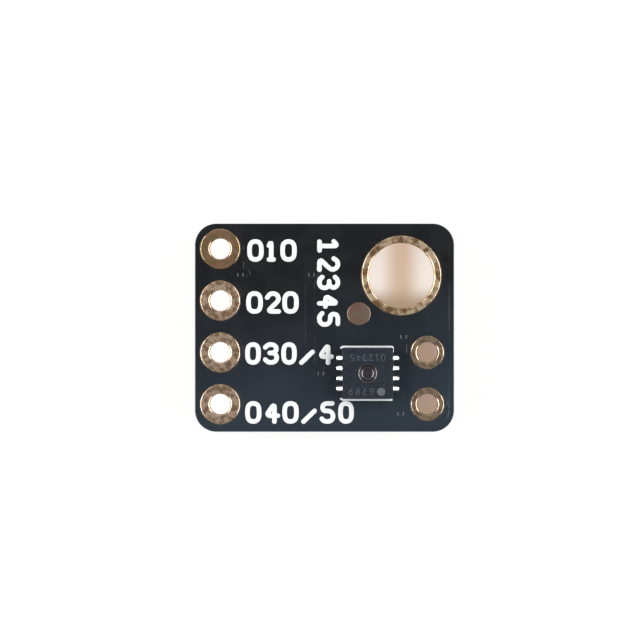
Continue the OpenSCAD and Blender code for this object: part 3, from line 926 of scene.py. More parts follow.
def node_points(name: str) -> Array:
    """Corners of a CAD node.

    Args:
        name: the node's name.

    Returns:
        The corners in millimetres, one row each.
    """
    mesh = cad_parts[name].data
    co = np.empty(len(mesh.vertices) * 3, np.float32)
    mesh.vertices.foreach_get("co", co)
    return co.reshape(-1, 3).astype(float) / MM


def node_box(name: str) -> tuple[Array, Array]:
    """Lowest and highest corner of a CAD node, in millimetres."""
    low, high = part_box(name)
    return np.array(low) / MM, np.array(high) / MM


def outer_edges(name: str, face: Face) -> Array:
    """Edges round the outermost flat face of a foil node.

    An edge of that face's triangles that no second triangle shares lies on its outline.

    Args:
        name: the node's name.
        face: the side of the board that it looks to.

    Returns:
        Pairs of points in millimetres.
    """
    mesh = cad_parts[name].data
    mesh.calc_loop_triangles()
    ids = np.empty(len(mesh.loop_triangles) * 3, np.int32)
    mesh.loop_triangles.foreach_get("vertices", ids)
    corners = node_points(name)[ids.reshape(-1, 3)]
    level = corners[:, :, 2].max() if face is Face.TOP else corners[:, :, 2].min()
    flat = np.abs(corners[:, :, 2] - level).max(axis=1) < SAME
    corners = np.round(corners[flat][:, :, :2], OUTLINE_DIGITS)
    edges = np.concatenate([corners[:, [0, 1]], corners[:, [1, 2]], corners[:, [2, 0]]])
    swap = (edges[:, 0, 0] > edges[:, 1, 0]) | (
        (edges[:, 0, 0] == edges[:, 1, 0]) & (edges[:, 0, 1] > edges[:, 1, 1])
    )
    edges[swap] = edges[swap][:, ::-1]
    rows, count = np.unique(edges.reshape(-1, 4), axis=0, return_counts=True)
    return rows[count == 1].reshape(-1, 2, 2)


def inside(edges: Array, at: Array) -> Array:
    """Which points lie inside an outline: a ray to the right crosses it an odd number of times.

    Args:
        edges: the outline's edges, as pairs of points.
        at: points, one row each.

    Returns:
        True for each point inside.
    """
    (x0, y0), (x1, y1) = edges[:, 0].T, edges[:, 1].T
    rise = np.where(y1 == y0, TINY, y1 - y0)
    out = np.empty(len(at), bool)
    for start in range(0, len(at), CHUNK):
        x, y = at[start:start + CHUNK, :1], at[start:start + CHUNK, 1:]
        crosses = ((y0 > y) != (y1 > y)) & (x < (x1 - x0) * (y - y0) / rise + x0)
        out[start:start + CHUNK] = crosses.sum(axis=1) % 2 == 1
    return out


class Foil:
    """The copper under one mask, as the frame's foil nodes draw it. Lengths are in millimetres."""

    probe: float = 0.006

    def __init__(self, names: Sequence[str], face: Face) -> None:
        """Read the outlines, and keep the edges that have copper on one side only.

        An edge is tested at the probe's distance on each side of its middle.

        Args:
            names: the foil nodes.
            face: the side of the board that they lie on.
        """
        self.outlines = [outer_edges(name, face) for name in names]
        edges = np.concatenate(self.outlines)
        edges = edges[np.linalg.norm(edges[:, 1] - edges[:, 0], axis=1) > MERGE_REACH]
        along = edges[:, 1] - edges[:, 0]
        length = np.linalg.norm(along, axis=1)
        side = np.column_stack([-along[:, 1], along[:, 0]]) / length[:, None]
        middle = edges.mean(axis=1)
        one_side = self.covers(middle + self.probe * side) != self.covers(middle - self.probe * side)
        self.edges, self.side, self.length = edges[one_side], side[one_side], length[one_side]

    def covers(self, at: Array) -> Array:
        """Which points lie on copper."""
        return np.any([inside(outline, at) for outline in self.outlines], axis=0)

    def distance(self, at: Array) -> Array:
        """Distance from the nearest edge of the copper, negative on bare laminate.

        The nearest point of an edge lies at the share of it that the point's foot falls on.

        Args:
            at: points, one row each.

        Returns:
            The distance of each point.
        """
        a, along = self.edges[:, 0], self.edges[:, 1] - self.edges[:, 0]
        square = np.einsum("ij,ij->i", along, along)
        out = np.empty(len(at))
        for start in range(0, len(at), CHUNK):
            gap = at[start:start + CHUNK, None] - a
            t = np.clip(np.einsum("nij,ij->ni", gap, along) / square, 0.0, 1.0)
            gap -= t[:, :, None] * along
            out[start:start + CHUNK] = np.sqrt(np.einsum("nij,nij->ni", gap, gap).min(axis=1))
        return np.where(self.covers(at), out, -out)

    def rows(self, offsets: Sequence[float], step: float) -> Array:
        """Points in rows beside the edges.

        Args:
            offsets: distance of each row from the edges, counted upwards, or to the left at an
                upright edge.
            step: rough distance between points.

        Returns:
            The points of all rows.
        """
        counts = np.maximum(1, np.ceil(self.length / step).astype(int))
        which = np.repeat(np.arange(len(self.edges)), counts)
        first = np.repeat(np.cumsum(counts) - counts, counts)
        t = ((np.arange(len(which)) - first + 0.5) / counts[which])[:, None]
        line = self.edges[which, 0] * (1 - t) + self.edges[which, 1] * t
        return np.concatenate([line + offset * self.side[which] for offset in offsets])


# The board


@dataclass
class Board:
    """Laminate, mask and foil. Sizes are in millimetres.

    The laminate's outer edge is broken by broken_drop over broken_run. The mask is worked out at
    points in rows beside the copper, at row_shares of step_run, and on a net elsewhere, which
    keeps net_clear away from the copper's edges. It has further points round each opening, up to
    its shoulder, and in rings inside the dimple over each via.
    """

    corner: float = 1.05
    broken_run: float = 0.025
    broken_drop: float = 0.012
    mask_gap: float = 0.05
    chip_mask_gap: float = 0.006
    land_corner: float = 0.03
    land_bevel: float = 0.006
    pad_gap: float = 0.014
    bare_height: float = 0.04
    sink_mean: float = 0.75
    sink_swing: float = 0.25
    sink_turns: tuple[float, float] = (1.7, 1.3)
    sink_peak: tuple[float, float] = (5.7, 0.8)
    foil_height: float = 0.035
    step_run: float = 0.06
    row_shares: tuple[float, ...] = (-1.0, -0.66, -0.33, 0.0, 0.4)
    row_step: float = 0.07
    row_merge: float = 0.02
    net_pitch: float = 0.14
    net_clear: float = 0.09
    shoulder: float = 0.03
    shoulder_ring: float = 0.4
    shoulder_clear: float = 1.4
    shoulder_drop: float = 0.015
    dimple_radius: float = 0.17
    dimple_run: float = 0.06
    dimple_rings: tuple[float, ...] = (0.0, 0.015, 0.03, 0.045, 0.06, 0.1)
    dimple_step: float = 0.03
    dimple_depth: float = 0.023
    via_drill: float = 0.15

    def __post_init__(self) -> None:
        """Read the outline, the heights and the vias from the frame."""
        low, high = node_box("substrate")
        self.low, self.top = float(low[2]), float(high[2])
        middle, half = (low + high) / 2, (high - low) / 2
        self.outline = Pane(middle[0], middle[1], half[0], half[1], self.corner)
        self.eyelets = ["fixing_eyelet", *HEADER, *SIDE]
        self.mask_top = float(node_box("mask_top")[1][2])
        self.mask_low = float(node_box("mask_back")[0][2])
        self.vias = via_centres(outer_edges("vias", Face.TOP))

    def pad_discs(self, grow: float) -> list[Disc]:
        """Discs on the plated pads, grown on all sides."""
        return [Disc(*hole.at, hole.pad + grow) for hole in map(Hole.of, self.eyelets)]

    def lands(self, name: str, grow: float) -> list[Pane]:
        """The flat lands of a node as rectangles.

        The land of the first corner left ends at the nearest corner along X and along Y. Its
        corners are then taken out, and the next land follows.

        Args:
            name: the node's name.
            grow: how much further out each side is taken.

        Returns:
            The lands.
        """
        points = np.unique(np.round(node_points(name)[:, :2], LAND_DIGITS), axis=0)
        out = []
        while len(points):
            x0, y0 = points[0]
            x1 = np.sort(points[np.abs(points[:, 1] - y0) < SAME, 0])[1]
            y1 = np.sort(points[np.abs(points[:, 0] - x0) < SAME, 1])[1]
            middle = np.array([x0 + x1, y0 + y1]) / 2
            half = np.array([x1 - x0, y1 - y0]) / 2
            out.append(Pane(*middle, *(half + grow), self.land_corner))
            taken = (np.abs(points - middle) < half + SAME).all(axis=1)
            points = points[~taken]
        return out

    def build(self) -> None:
        """Make every piece of the board."""
        self.build_laminate()
        spot = Hole.of("gold_spot")
        openings = [Disc(*spot.at, spot.pad), *self.lands("chip_lands", self.chip_mask_gap)]
        foil = Foil(["ground_pour_top", "tracks_top", "vias"], Face.TOP)
        self.build_mask("mask_top", Face.TOP, foil, openings)
        foil = Foil(["ground_pour_back", "tracks_back", "vias"], Face.BACK)
        self.build_mask("mask_back", Face.BACK, foil, self.lands("back_lands", self.mask_gap))
        pads = tuple((d.x * MM, d.y * MM, d.radius * MM) for d in self.pad_discs(2 * self.pad_gap))
        foil_finish = replace(COPPER, pads=pads)
        for name in ("ground_pour_top", "tracks_top", "ground_pour_back", "tracks_back", "vias"):
            dress_node(name, foil_finish)
        # The chip's lands get the tin painted dark as shade
        dress_node("chip_lands", SHADED_LAND_TIN, self.land_bevel * MM)
        dress_node("back_lands", GOLD, self.land_bevel * MM)

    def build_laminate(self) -> None:
        """The drilled laminate: a flat plate with round holes and a lightly broken outer edge."""
        holes = [Disc(*hole.at, hole.seat) for hole in map(Hole.of, self.eyelets)]
        holes += [Disc(x, y, self.via_drill) for x, y in self.vias]
        loops = [self.outline.loop(0.0), self.outline.loop(-self.broken_run)]
        loops += [hole.loop(0.0) for hole in holes]

        def keep(at: Array) -> Array:
            """Which points lie on the laminate."""
            return (self.outline.distance(at) < 0) & (nearest(holes, at) > 0)

        flat, triangles = triangulate(loops, np.zeros((0, 2)), keep)
        edge = np.clip(1 + self.outline.distance(flat) / self.broken_run, 0.0, 1.0)
        top = self.top - self.broken_drop * edge
        low = self.low + self.broken_drop * edge
        plate = thick_plate(flat, triangles, top, low)
        place_piece("laminate", *plate, LAMINATE, ["substrate"], sharp=30.0)

    def sink_share(self, at: Array) -> Array:
        """How far the mask sinks beside copper, as a share of the most it can.

        It is the mean plus the swing times a cosine of X times a cosine of Y, which are both 1
        at the peak. The turns are radians for each millimetre.

        Args:
            at: points, one row each.

        Returns:
            The share at each point.
        """
        waves = np.cos((at - self.sink_peak) * self.sink_turns)
        return self.sink_mean + self.sink_swing * waves[:, 0] * waves[:, 1]

    def build_mask(self, name: str, face: Face, foil: Foil, openings: list[Shape]) -> None:
        """One mask: a thin coat that lies over the foil and sinks where the laminate is bare.

        The outer surface lies at the CAD mask's height over copper, and sinks towards bare_height
        over the stretch just outside the copper's edge, by more in some places than in others. It
        also drops at the shoulder of each opening by the square of how near the opening is, and
        dips over each via.

        Args:
            name: the CAD node that the mask stands for.
            face: the side of the board.
            foil: the copper under it.
            openings: holes in the mask besides those round the pads.
        """
        openings = [*openings, *self.pad_discs(self.pad_gap)]
        edge = self.shoulder
        dimples = [Disc(x, y, self.dimple_radius) for x, y in self.vias]

        def gap(at: Array) -> Array:
            """Distance from the nearest edge of the mask, negative where there is none."""
            return np.minimum(nearest(openings, at), -self.outline.distance(at))

        def keep(at: Array) -> Array:
            """Which points lie on the mask."""
            return gap(at) > 0

        grows = (0.0, self.shoulder_ring * edge, edge)
        loops = [self.outline.loop(-grow) for grow in grows]
        loops += [shape.loop(grow) for shape in openings for grow in grows]
        run = self.step_run
        beside = foil.rows([share * run for share in self.row_shares], self.row_step)
        beside = beside[np.unique(np.round(beside / self.row_merge), axis=0, return_index=True)[1]]
        x = np.arange(-self.outline.half_w, self.outline.half_w, self.net_pitch)
        y = np.arange(-self.outline.half_d, self.outline.half_d, self.net_pitch)
        net = np.stack(np.meshgrid(x, y), axis=-1).reshape(-1, 2) + (self.outline.x, self.outline.y)
        net = net[np.abs(foil.distance(net)) > self.net_clear]
        rings = [dimple.loop(-r, self.dimple_step) for dimple in dimples for r in self.dimple_rings]
        loose = np.concatenate([beside, net, *rings])
        loose = loose[gap(loose) > self.shoulder_clear * edge]
        flat, triangles = triangulate(loops, loose, keep)
        depth = foil.distance(flat)
        full = abs((self.mask_top - self.top) if face is Face.TOP else (self.low - self.mask_low))
        sink = (full - self.bare_height) * self.sink_share(flat)
        outer = full - sink * (1 - smooth(depth, -run, 0.0))
        outer -= self.shoulder_drop * np.clip(1 - gap(flat) / edge, 0.0, 1.0) ** 2
        outer -= self.dimple_depth * smooth(-nearest(dimples, flat), 0.0, self.dimple_run)
        inner = self.foil_height * smooth(depth, -2.0 * run, -run)
        if face is Face.TOP:
            plate = thick_plate(flat, triangles, self.top + outer, self.top + inner)
        else:
            plate = thick_plate(flat, triangles, self.low - inner, self.low - outer)
        place_piece(name + "_coat", *plate, MASK, [name], sharp=50.0)


def smooth(value: Array, low: float, high: float) -> Array:
    """A smooth rise from 0 at low to 1 at high: three squares less two cubes."""
    t = np.clip((value - low) / (high - low), 0.0, 1.0)
    return t * t * (3 - 2 * t)


def via_centres(edges: Array) -> Array:
    """Centres of the vias, from the round outlines of their rings.

    The edges whose middles lie within reach of the first one left are one ring.

    Args:
        edges: the rings' edges, as pairs of points in millimetres.

    Returns:
        The centres, one row each.
    """
    reach = 0.75
    middles = edges.mean(axis=1)
    out = []
    while len(middles):
        near = np.hypot(*(middles - middles[0]).T) < reach
        low, high = middles[near].min(axis=0), middles[near].max(axis=0)
        out.append((low + high) / 2)
        middles = middles[~near]
    return np.array(out)


# Plated holes


HEADER = [f"header_eyelet_{i}" for i in range(1, 5)]
SIDE = [f"side_eyelet_{i}" for i in range(1, 3)]


@dataclass(frozen=True)
class Hole:
    """Place, radii and heights of a plated hole or a round gold face, in millimetres."""

    at: tuple[float, float]
    pad: float
    bore: float
    low: float
    top: float
    barrel: float = 0.03

    @property
    def seat(self) -> float:
        """Radius of the laminate's hole around the barrel."""
        return self.bore + self.barrel

    @staticmethod
    def of(name: str) -> "Hole":
        """Read a hole from its CAD node.

        Its pad is half as wide as the node's box, and its bore reaches out to the corner that is
        nearest to the box's middle.

        Args:
            name: the node's name.

        Returns:
            The hole.
        """
        points = node_points(name)
        low, high = points.min(axis=0), points.max(axis=0)
        middle = (low + high) / 2
        pad = float((high - low)[0] / 2)
        bore = float(np.hypot(*(points[:, :2] - middle[:2]).T).min())
        return Hole((float(middle[0]), float(middle[1])), pad, bore, float(low[2]), float(high[2]))


@dataclass
class PlatedHoles:
    """The gold-plated holes with their pads, and the bare gold spot. Sizes are in millimetres.

    steps counts the points round a hole. The other counts are points along a section: on the
    mouth, the pad's rounded edge, the pad's face, the barrel's wall and the spot's edge. The
    finishes are those of the fixing hole, the left column and the right column.
    """

    pad_thick: float = 0.06
    shoulder: float = 0.045
    mouth: float = 0.08
    spot_edge: float = 0.02
    spot_rings: tuple[float, ...] = (0.15, 0.3, 0.45)
    steps: int = 144
    mouth_points: int = 10
    edge_points: int = 9
    face_points: int = 9
    wall_points: int = 7
    spot_points: int = 5
    finishes: tuple[Finish, ...] = (
        PATCHY_GOLD, GOLD, MOTTLED_GOLD, PALE_GOLD, PALE_GOLD, GREY_GOLD, GREY_GOLD,
    )

    def profile(self, hole: Hole) -> Array:
        """The section of one plated hole as radius and height, in metres.

        From the bore's upper mouth it runs over the pad, down its rounded edge, back under the pad
        to the barrel, down the barrel and round the lower pad in the same way.

        Args:
            hole: the hole.

        Returns:
            The points, in order round the section.
        """
        top, low = hole.top, hole.low
        pad, bore, seat = hole.pad, hole.bore, hole.seat
        m, s, t = self.mouth, self.shoulder, self.pad_thick
        r = np.linspace(bore + m, pad - s, self.face_points)[1:-1]
        upper = np.column_stack([r, np.full_like(r, top)])
        lower = np.column_stack([r[::-1], np.full_like(r, low)])
        z = np.linspace(low + m, top - m, self.wall_points)[1:-1]
        bore_wall = np.column_stack([np.full_like(z, bore), z])
        parts = [
            arc((bore + m, top - m), m, 180.0, 90.0, self.mouth_points), upper,
            arc((pad - s, top - s), s, 90.0, 0.0, self.edge_points),
            [[pad, top - t], [seat, top - t], [seat, low + t], [pad, low + t]],
            arc((pad - s, low + s), s, 0.0, -90.0, self.edge_points), lower,
            arc((bore + m, low + m), m, 270.0, 180.0, self.mouth_points), bore_wall,
        ]
        return np.concatenate(parts) * MM

    def build(self) -> None:
        """Make each plated hole, and the spot beside the fixing hole."""
        for name, finish in zip(("fixing_eyelet", *HEADER, *SIDE), self.finishes):
            hole = Hole.of(name)
            points, faces = lathe(self.profile(hole), np.array(hole.at) * MM, self.steps)
            place_piece(name.replace("eyelet", "plating"), points, faces, finish, [name], sharp=60.0)
        spot, e = Hole.of("gold_spot"), self.spot_edge
        rings = np.array([AXIS, *self.spot_rings, spot.pad - e])
        face = np.column_stack([rings, np.full_like(rings, spot.top)])
        under = np.column_stack([[spot.pad, AXIS], [spot.low, spot.low]])
        edge = arc((spot.pad - e, spot.top - e), e, 90.0, 0.0, self.spot_points)[1:]
        profile = np.concatenate([face, edge, under]) * MM
        points, faces = lathe(profile, np.array(spot.at) * MM, self.steps)
        place_piece("gold_spot_face", points, faces, DULL_GOLD, ["gold_spot"], sharp=60.0)


# Print


# Points on the curve round a corner of a path, across a stroke, and round one of its ends
CURVE_POINTS = 6
ACROSS_POINTS = 13
END_POINTS = 7
# Share of the width that is left at a stroke's very end, and of the height along its edges
LEAST_WIDTH = 0.02
EDGE_HEIGHT = 0.15
# Power that makes a stroke's crown flat, and how steeply the crown rises from an end
CROWN_POWER = 2.2
END_RISE = 2.2
# Radius of a figure's rounded corners, as a share of its stroke's width
FIGURE_BEND = 0.9


def rounded_path(points: Sequence[tuple[float, float]], radius: float, closed: bool) -> Array:
    """A path with each corner turned into an arc-like curve.

    Near a corner the path follows the quadratic curve from one side to the other: each point is
    the mean of the two sides, weighted by the squares of what is left and of what is done.

    Args:
        points: corners of the path.
        radius: distance from the corner at which the curve starts.
        closed: whether the last corner joins the first.

    Returns:
        The points of the smoothed path, without a repeated end point.
    """
    corners = np.array(points, float)
    count = len(corners)
    out = [] if closed else [corners[:1]]
    t = np.linspace(0.0, 1.0, CURVE_POINTS)[:, None]
    for i in range(0 if closed else 1, count if closed else count - 1):
        before, here, after = corners[i - 1], corners[i], corners[(i + 1) % count]
        reach_in = min(radius, np.linalg.norm(here - before) / 2)
        reach_out = min(radius, np.linalg.norm(after - here) / 2)
        start = here + (before - here) / np.linalg.norm(here - before) * reach_in
        end = here + (after - here) / np.linalg.norm(after - here) * reach_out
        out.append((1 - t) ** 2 * start + 2 * t * (1 - t) * here + t**2 * end)
    return np.concatenate(out if closed else [*out, corners[-1:]])


def stroke(
    path: Array, width: float, low: float, high: float, closed: bool,
) -> tuple[Array, list[Array]]:
    """A printed stroke: a low domed bar along a path, with round ends.

    At each path point the section runs across the path. Its offset is the half width times a row
    of shares from -1 to 1. Its height is the edge's height plus the rest of the height times the
    root of 1 less the share to the crown's power. At an open end the section shrinks through a
    half circle while it moves on, which gives the round end.

    Args:
        path: points of the path, in millimetres.
        width: width of the stroke.
        low: height of its underside.
        high: height of its crown.
        closed: whether the path is a closed loop.

    Returns:
        Points in metres and faces.
    """
    if closed:
        ahead, back = np.roll(path, -1, axis=0), np.roll(path, 1, axis=0)
        shrink = np.ones(len(path))
    else:
        a = np.radians(np.linspace(90.0, 0.0, END_POINTS))[:-1]
        first, last = path[0] - path[1], path[-1] - path[-2]
        first, last = first / np.linalg.norm(first), last / np.linalg.norm(last)
        cap_a = path[0] + first * (np.sin(a) * width / 2)[:, None]
        cap_b = path[-1] + last * (np.sin(a[::-1]) * width / 2)[:, None]
        end = np.maximum(np.cos(a), LEAST_WIDTH)
        shrink = np.concatenate([end, np.ones(len(path)), end[::-1]])
        path = np.concatenate([cap_a, path, cap_b])
        ahead, back = np.vstack([path[1:], path[-1:]]), np.vstack([path[:1], path[:-1]])
    along = ahead - back
    along /= np.linalg.norm(along, axis=1)[:, None]
    across = np.column_stack([-along[:, 1], along[:, 0]])
    share = np.sin(np.radians(np.linspace(-90.0, 90.0, ACROSS_POINTS)))
    rise = EDGE_HEIGHT + (1 - EDGE_HEIGHT) * (1 - np.abs(share) ** CROWN_POWER) ** 0.5
    xy = path[:, None] + across[:, None] * (share[None, :, None] * shrink[:, None, None] * width / 2)
    crown = low + (high - low) * rise[None, :] * np.clip(END_RISE * shrink[:, None], 0.0, 1.0)
    top = np.dstack([xy, crown]) * MM
    base = np.dstack([xy, np.full(crown.shape, low)]) * MM
    if not closed:
        return between(top, base)
    section = np.concatenate([top, base[:, ::-1]], axis=1)
    rows, columns = section.shape[:2]
    return section.reshape(-1, 3), [grid_faces(rows, columns, True, True)]


# Strokes of plain figures in a cell one wide and one high: corners, and whether the path closes
FIGURES: dict[str, list[tuple[list[tuple[float, float]], bool]]] = {
    "0": [
        ([(0.0, 0.2), (0.0, 0.8), (0.25, 1.0), (0.75, 1.0),
          (1.0, 0.8), (1.0, 0.2), (0.75, 0.0), (0.25, 0.0)], True),
    ],
    "1": [
        ([(0.1, 0.78), (0.5, 1.0), (0.5, 0.0)], False),
        ([(0.12, 0.0), (0.88, 0.0)], False),
    ],
    "2": [
        ([(0.0, 0.78), (0.25, 1.0), (0.75, 1.0), (1.0, 0.8),
          (1.0, 0.6), (0.0, 0.0), (1.0, 0.0)], False),
    ],
    "3": [
        ([(0.0, 0.85), (0.25, 1.0), (0.72, 1.0), (0.97, 0.85),
          (0.97, 0.66), (0.7, 0.53), (0.4, 0.53)], False),
        ([(0.7, 0.53), (1.0, 0.4), (1.0, 0.15), (0.75, 0.0), (0.25, 0.0), (0.0, 0.15)], False),
    ],
    "4": [
        ([(0.72, 0.0), (0.72, 1.0), (0.0, 0.32), (1.0, 0.32)], False),
    ],
    "5": [
        ([(0.92, 1.0), (0.08, 1.0), (0.04, 0.58), (0.7, 0.6), (1.0, 0.42),
          (1.0, 0.16), (0.75, 0.0), (0.22, 0.0), (0.0, 0.14)], False),
    ],
    "6": [
        ([(0.85, 1.0), (0.35, 0.85), (0.0, 0.5), (0.0, 0.18), (0.25, 0.0),
          (0.75, 0.0), (1.0, 0.18), (1.0, 0.38), (0.75, 0.55), (0.1, 0.52)], False),
    ],
    "7": [
        ([(0.0, 1.0), (1.0, 1.0), (0.38, 0.0)], False),
    ],
    "8": [
        ([(0.5, 0.53), (0.05, 0.65), (0.05, 0.87), (0.28, 1.0),
          (0.72, 1.0), (0.95, 0.87), (0.95, 0.65)], True),
        ([(0.5, 0.53), (0.0, 0.38), (0.0, 0.14), (0.25, 0.0),
          (0.75, 0.0), (1.0, 0.14), (1.0, 0.38)], True),
    ],
    "9": [
        ([(0.15, 0.0), (0.65, 0.15), (1.0, 0.5), (1.0, 0.82), (0.75, 1.0),
          (0.25, 1.0), (0.0, 0.82), (0.0, 0.62), (0.25, 0.45), (0.9, 0.48)], False),
    ],
    "/": [
        ([(0.0, 0.0), (1.0, 1.0)], False),
    ],
}


@dataclass(frozen=True)
class Figure:
    """One printed figure: its character, and the box that its ink fills, in millimetres."""

    character: str
    x0: float
    x1: float
    y0: float
    y1: float
    turn: float = 0.0

    def strokes(self, width: float, low: float, high: float) -> list[tuple[Array, list[Array]]]:
        """The strokes of the figure, turned clockwise about the box's middle.

        Args:
            width: width of the strokes, in millimetres.
            low: height of their underside.
            high: height of their crown.

        Returns:
            Points and faces of each stroke.
        """
        middle = np.array([(self.x0 + self.x1) / 2, (self.y0 + self.y1) / 2])
        size = np.array([self.x1 - self.x0, self.y1 - self.y0])
        if round(self.turn) % 180 == 90:
            size = size[::-1]
        size = size - width
        c, s = np.cos(radians(self.turn)), np.sin(radians(self.turn))
        out = []
        for corners, closed in FIGURES[self.character]:
            cell = (np.array(corners) - 0.5) * size
            turned = np.column_stack([cell[:, 0] * c + cell[:, 1] * s, cell[:, 1] * c - cell[:, 0] * s])
            path = rounded_path(turned + middle, FIGURE_BEND * width, closed)
            out.append(stroke(path, width, low, high, closed))
        return out


@dataclass
class Print:
    """The white print of the top face: plain figures and the two bars beside the chip.

    Sizes are in millimetres. ink, bar and leg are widths of strokes, and the ink reaches depth
    down into the mask. Each bar's left end slants by slant_drop over slant_run. The upper bar
    turns down by turn_drop between turn_run and turn_end before its right end, and a thin leg
    follows there: it starts at leg_start from the corner, runs down from leg_turn on and leans by
    leg_lean. rows holds each row's text and the lowest and highest Y of its ink, and columns the
    left and right X of each figure in it. upright is the text that runs down the board, with the
    X of its two sides and the lowest and highest Y of each figure.
    """

    ink: float = 0.25
    bar: float = 0.12
    leg: float = 0.06
    depth: float = 0.02
    slant_run: float = 0.07
    slant_drop: float = 0.045
    turn_run: float = 0.06
    turn_end: float = 0.01
    turn_drop: float = 0.035
    bend: float = 0.05
    leg_inset: float = 0.75
    leg_start: tuple[float, float] = (0.05, 0.02)
    leg_turn: float = 0.09
    leg_lean: float = 0.01
    leg_drop: float = 0.001
    rows: tuple[tuple[str, float, float], ...] = (
        ("010", 3.22, 4.35), ("020", 0.67, 1.80), ("030/4", -1.83, -0.70), ("040/50", -4.72, -3.59),
    )
    columns: tuple[tuple[tuple[float, float], ...], ...] = (
        ((-3.80, -2.97), (-2.87, -2.35), (-2.18, -1.35)),
        ((-3.85, -3.01), (-2.93, -2.13), (-2.08, -1.25)),
        ((-3.90, -3.11), (-3.02, -2.22), (-2.13, -1.35), (-1.25, -0.47), (-0.36, 0.47)),
        ((-3.90, -3.08), (-2.99, -2.17), (-2.08, -1.25), (-1.15, -0.37), (-0.25, 0.54), (0.66, 1.45)),
    )
    slash_height: float = 0.76
    upright: str = "12345"
    upright_x: tuple[float, float] = (-0.37, 0.78)
    upright_y: tuple[tuple[float, float], ...] = (
        (3.61, 4.40), (2.73, 3.51), (1.83, 2.60), (0.92, 1.70), (0.03, 0.82),
    )

    def build(self) -> None:
        """Make the figures, row by row, and the bars."""
        low, high = node_box("print_bar_top")
        crown, sunk = float(high[2]), float(low[2]) - self.depth
        for i, ((text, y0, y1), boxes) in enumerate(zip(self.rows, self.columns)):
            figures = [
                Figure(c, x0, x1, y0, y0 + self.slash_height if c == "/" else y1)
                for c, (x0, x1) in zip(text, boxes)
            ]
            self.place(f"figures_row_{i + 1}", figures, sunk, crown)
        column = zip(self.upright, self.upright_y)
        figures = [Figure(c, *self.upright_x, y0, y1, turn=90.0) for c, (y0, y1) in column]
        self.place("figures_upright", figures, sunk, crown)
        for name in ("print_bar_top", "print_bar_bottom"):
            strokes = [stroke(self.bar_path(name), self.bar, sunk, crown, False)]
            if name == "print_bar_top":
                leg_crown = crown - self.leg_drop
                strokes.append(stroke(self.leg_path(name), self.leg, sunk, leg_crown, False))
            place_piece(name + "_ink", *joined(strokes), INK, [name], sharp=60.0)

    def place(self, name: str, figures: Sequence[Figure], low: float, high: float) -> None:
        """Make one group of figures a piece of ink."""
        parts = [part for figure in figures for part in figure.strokes(self.ink, low, high)]
        place_piece(name, *joined(parts), INK, sharp=60.0)

    def bar_path(self, name: str) -> Array:
        """The middle line of a bar, from its node's box.

        Args:
            name: the bar's node.

        Returns:
            The line's points.
        """
        low, high = node_box(name)
        half = self.bar / 2
        left, right = low[0] + half, high[0] - half
        if name == "print_bar_top":
            y = high[1] - half
            points = [(left, y - self.slant_drop), (left + self.slant_run, y)]
            points += [(right - self.turn_run, y), (right - self.turn_end, y - self.turn_drop)]
        else:
            y = low[1] + half
            points = [(left, y + self.slant_drop), (left + self.slant_run, y), (right, y)]
        return rounded_path(points, self.bend, False)

    def leg_path(self, name: str) -> Array:
        """The middle line of the thin leg that runs down from a bar's right end.

        Args:
            name: the bar's node.

        Returns:
            The line's points.
        """
        low, high = node_box(name)
        x, y = high[0] - self.leg_inset * self.leg, high[1] - self.bar / 2
        start = (x - self.leg_start[0], y - self.leg_start[1])
        points = [start, (x, y - self.leg_turn), (x + self.leg_lean, low[1] + self.leg)]
        return rounded_path(points, self.bend, False)


# The chip


